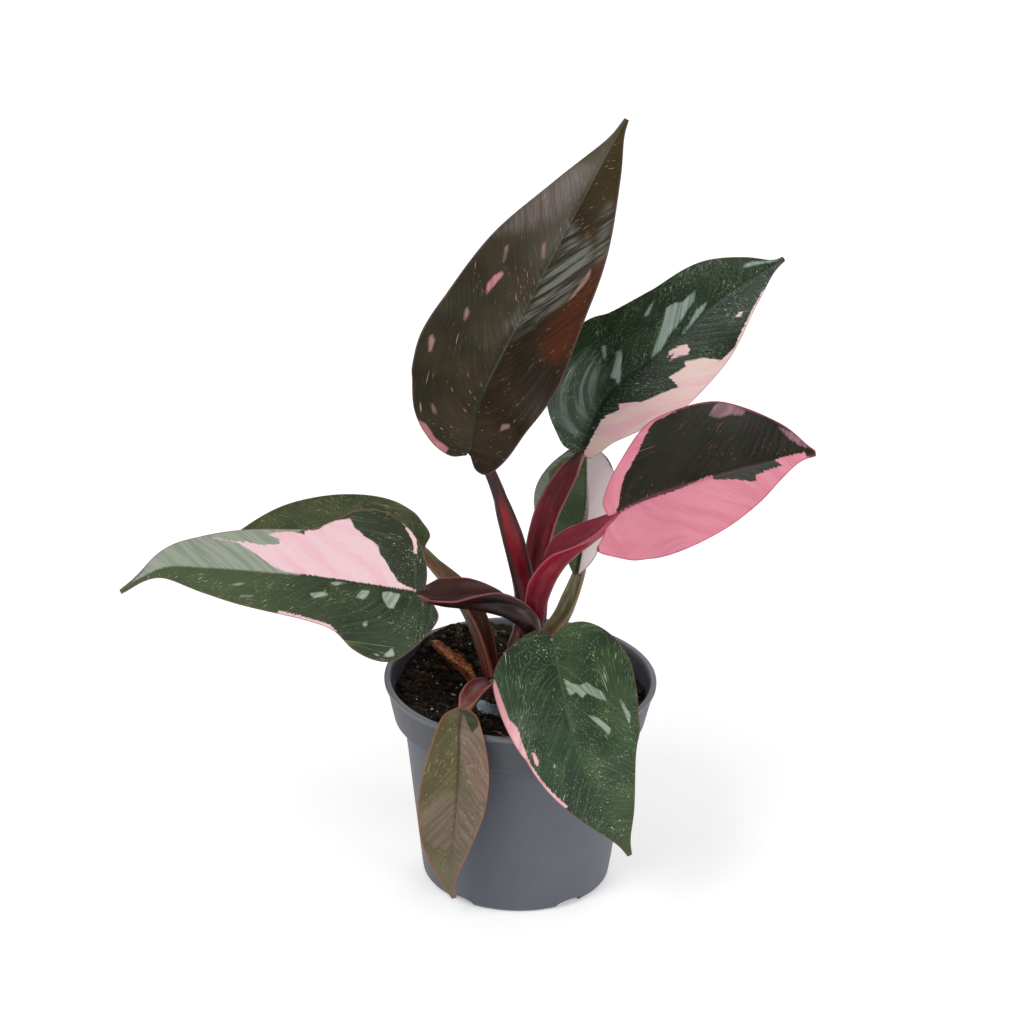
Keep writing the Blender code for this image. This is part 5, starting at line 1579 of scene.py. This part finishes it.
def add_mix():
    """The mix and what lies on it."""
    dark = [(0.0, (17, 13, 11)), (0.7, (42, 30, 22)), (1.0, (92, 64, 42))]
    tan = [(0.0, (120, 84, 52)), (0.6, (168, 128, 84)), (1.0, (206, 176, 132))]
    pale = [(0.0, (168, 160, 146)), (0.5, (206, 200, 186)), (1.0, (232, 228, 218))]
    mossy = [(0.0, (30, 28, 18)), (0.6, (58, 52, 32)), (1.0, (104, 94, 56))]
    fibre = [(0.0, (40, 28, 20)), (0.7, (84, 60, 40)), (1.0, (150, 120, 84))]
    stand_in(make_mix_surface(mix_material("potting_mix")), "soil")
    heaps = [
        ("mix_crumbs", dark, 1150, (0.3, 1.1), (0.4, 0.8), 11, on_mix),
        ("mix_bark", tan, 60, (0.3, 0.9), (0.25, 0.5), 12, on_mix),
        ("mix_perlite", pale, 280, (0.12, 0.4), (0.6, 0.9), 13, on_mix),
        ("mix_moss", mossy, 90, (0.4, 1.2), (0.6, 1.0), 14, heap_spot),
    ]
    for name, stops, count, sizes, flatness, seed, spot in heaps:
        crumbs = make_crumbs(name, crumb_material(name, stops), count, sizes, flatness, seed, spot)
        stand_in(crumbs, "soil")
    stand_in(make_fibres(crumb_material("mix_fibres", fibre), 110, 15), "soil")
    stand_in(make_plug_surface(mix_material("plug_peat", 0.7)), "plug_mix")
    finish = crumb_material("plug_crumbs", dark)
    bits = make_crumbs("plug_crumbs", finish, 90, (0.3, 0.8), (0.4, 0.8), 16, plug_spot, plug_height)
    stand_in(bits, "plug_mix")


def heap_spot(draw):
    """A random spot on the heap at the back left."""
    while True:
        x, y = draw.gauss(HEAP_CENTRE[0], 5), draw.gauss(HEAP_CENTRE[1], 5)
        if math.hypot(x, y) < MOSS_REACH:
            return x, y


def add_leaves():
    for seed, (name, leaf) in enumerate(LEAVES.items(), 1):
        blade = make_blade(name, leaf, leaf_material(name + "_blade", BLADE_LOOKS[name]), seed)
        stand_in(blade, name)
        petiole = make_petiole(name, leaf, petiole_material(name + "_petiole", PETIOLE_LOOKS[name]), seed)
        stand_in(petiole, name)


def add_camera():
    """The photo's camera, turned a little so that its picture needs no shift."""
    c, s = math.cos(CAMERA_ELEVATION), math.sin(CAMERA_ELEVATION)
    ahead = np.array([0.0, c, -s])
    across, above = np.array([1.0, 0.0, 0.0]), np.array([0.0, s, c])
    turn_c, turn_s = math.cos(CAMERA_ROLL), math.sin(CAMERA_ROLL)
    right, up = across * turn_c + above * turn_s, above * turn_c - across * turn_s
    place = CAMERA_TARGET - CAMERA_DISTANCE * ahead
    looking = unit(ahead * FOCAL_PX - right * TARGET_OFFSET_PX[0] - up * TARGET_OFFSET_PX[1])
    right = unit(np.cross(looking, up))
    up = np.cross(right, looking)
    data = bpy.data.cameras.new("camera")
    data.lens = FOCAL_PX / IMAGE_PX * SENSOR_MM
    data.sensor_width = SENSOR_MM
    data.clip_start, data.clip_end = 0.05, 20.0
    camera = bpy.data.objects.new("camera", data)
    matrix = Matrix.Identity(4)
    for k, column in enumerate((right, up, -looking, place * MM)):
        for row in range(3):
            matrix[row][k] = column[row]
    camera.matrix_world = matrix
    bpy.context.scene.collection.objects.link(camera)
    bpy.context.scene.camera = camera


def area_light(name, place, size, power):
    """A large soft light that faces the middle of the plant."""
    data = bpy.data.lights.new(name, "AREA")
    data.shape = "DISK"
    data.size = size
    data.energy = power
    light = bpy.data.objects.new(name, data)
    light.location = place
    towards = Vector((0, 0, 0.08)) - Vector(place)
    light.rotation_euler = towards.to_track_quat("-Z", "Y").to_euler()
    bpy.context.scene.collection.objects.link(light)


def add_stage():
    """A plain pale floor in soft studio light."""
    size = FLOOR_HALF_SIZE
    points = [(-size, -size, 0), (size, -size, 0), (size, size, 0), (-size, size, 0)]
    mesh_object("studio_floor", points, [(0, 1, 2, 3)], floor_material())
    world = bpy.data.worlds.new("studio")
    world.use_nodes = True
    sky = world.node_tree.nodes["Background"]
    sky.inputs["Color"].default_value = (1.0, 1.0, 1.0, 1.0)
    sky.inputs["Strength"].default_value = SKY_STRENGTH
    bpy.context.scene.world = world
    area_light("key", (-0.45, -0.55, 0.75), 0.5, 4.4)
    area_light("fill", (0.65, -0.45, 0.42), 0.6, 2.8)
    area_light("back", (0.1, 0.7, 0.6), 0.6, 1.6)
    bpy.context.scene.view_settings.view_transform = "Standard"


def corners(box):
    return [[float(c) for c in corner] for corner in box]


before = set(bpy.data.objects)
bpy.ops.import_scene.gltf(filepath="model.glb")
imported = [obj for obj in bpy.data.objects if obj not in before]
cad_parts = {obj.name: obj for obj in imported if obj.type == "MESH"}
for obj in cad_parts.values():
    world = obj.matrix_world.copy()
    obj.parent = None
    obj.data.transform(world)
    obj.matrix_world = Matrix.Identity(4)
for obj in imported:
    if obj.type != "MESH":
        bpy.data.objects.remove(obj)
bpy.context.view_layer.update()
stand_in(make_pot(pot_material()), "pot")
add_mix()
stand_in(make_sleeve(paper_material()), "plug_sleeve")
stand_in(make_stem(stem_material()), "stem")
stand_in(make_husk(husk_material()), "dry_leaf_base")
add_leaves()
add_stage()
add_camera()
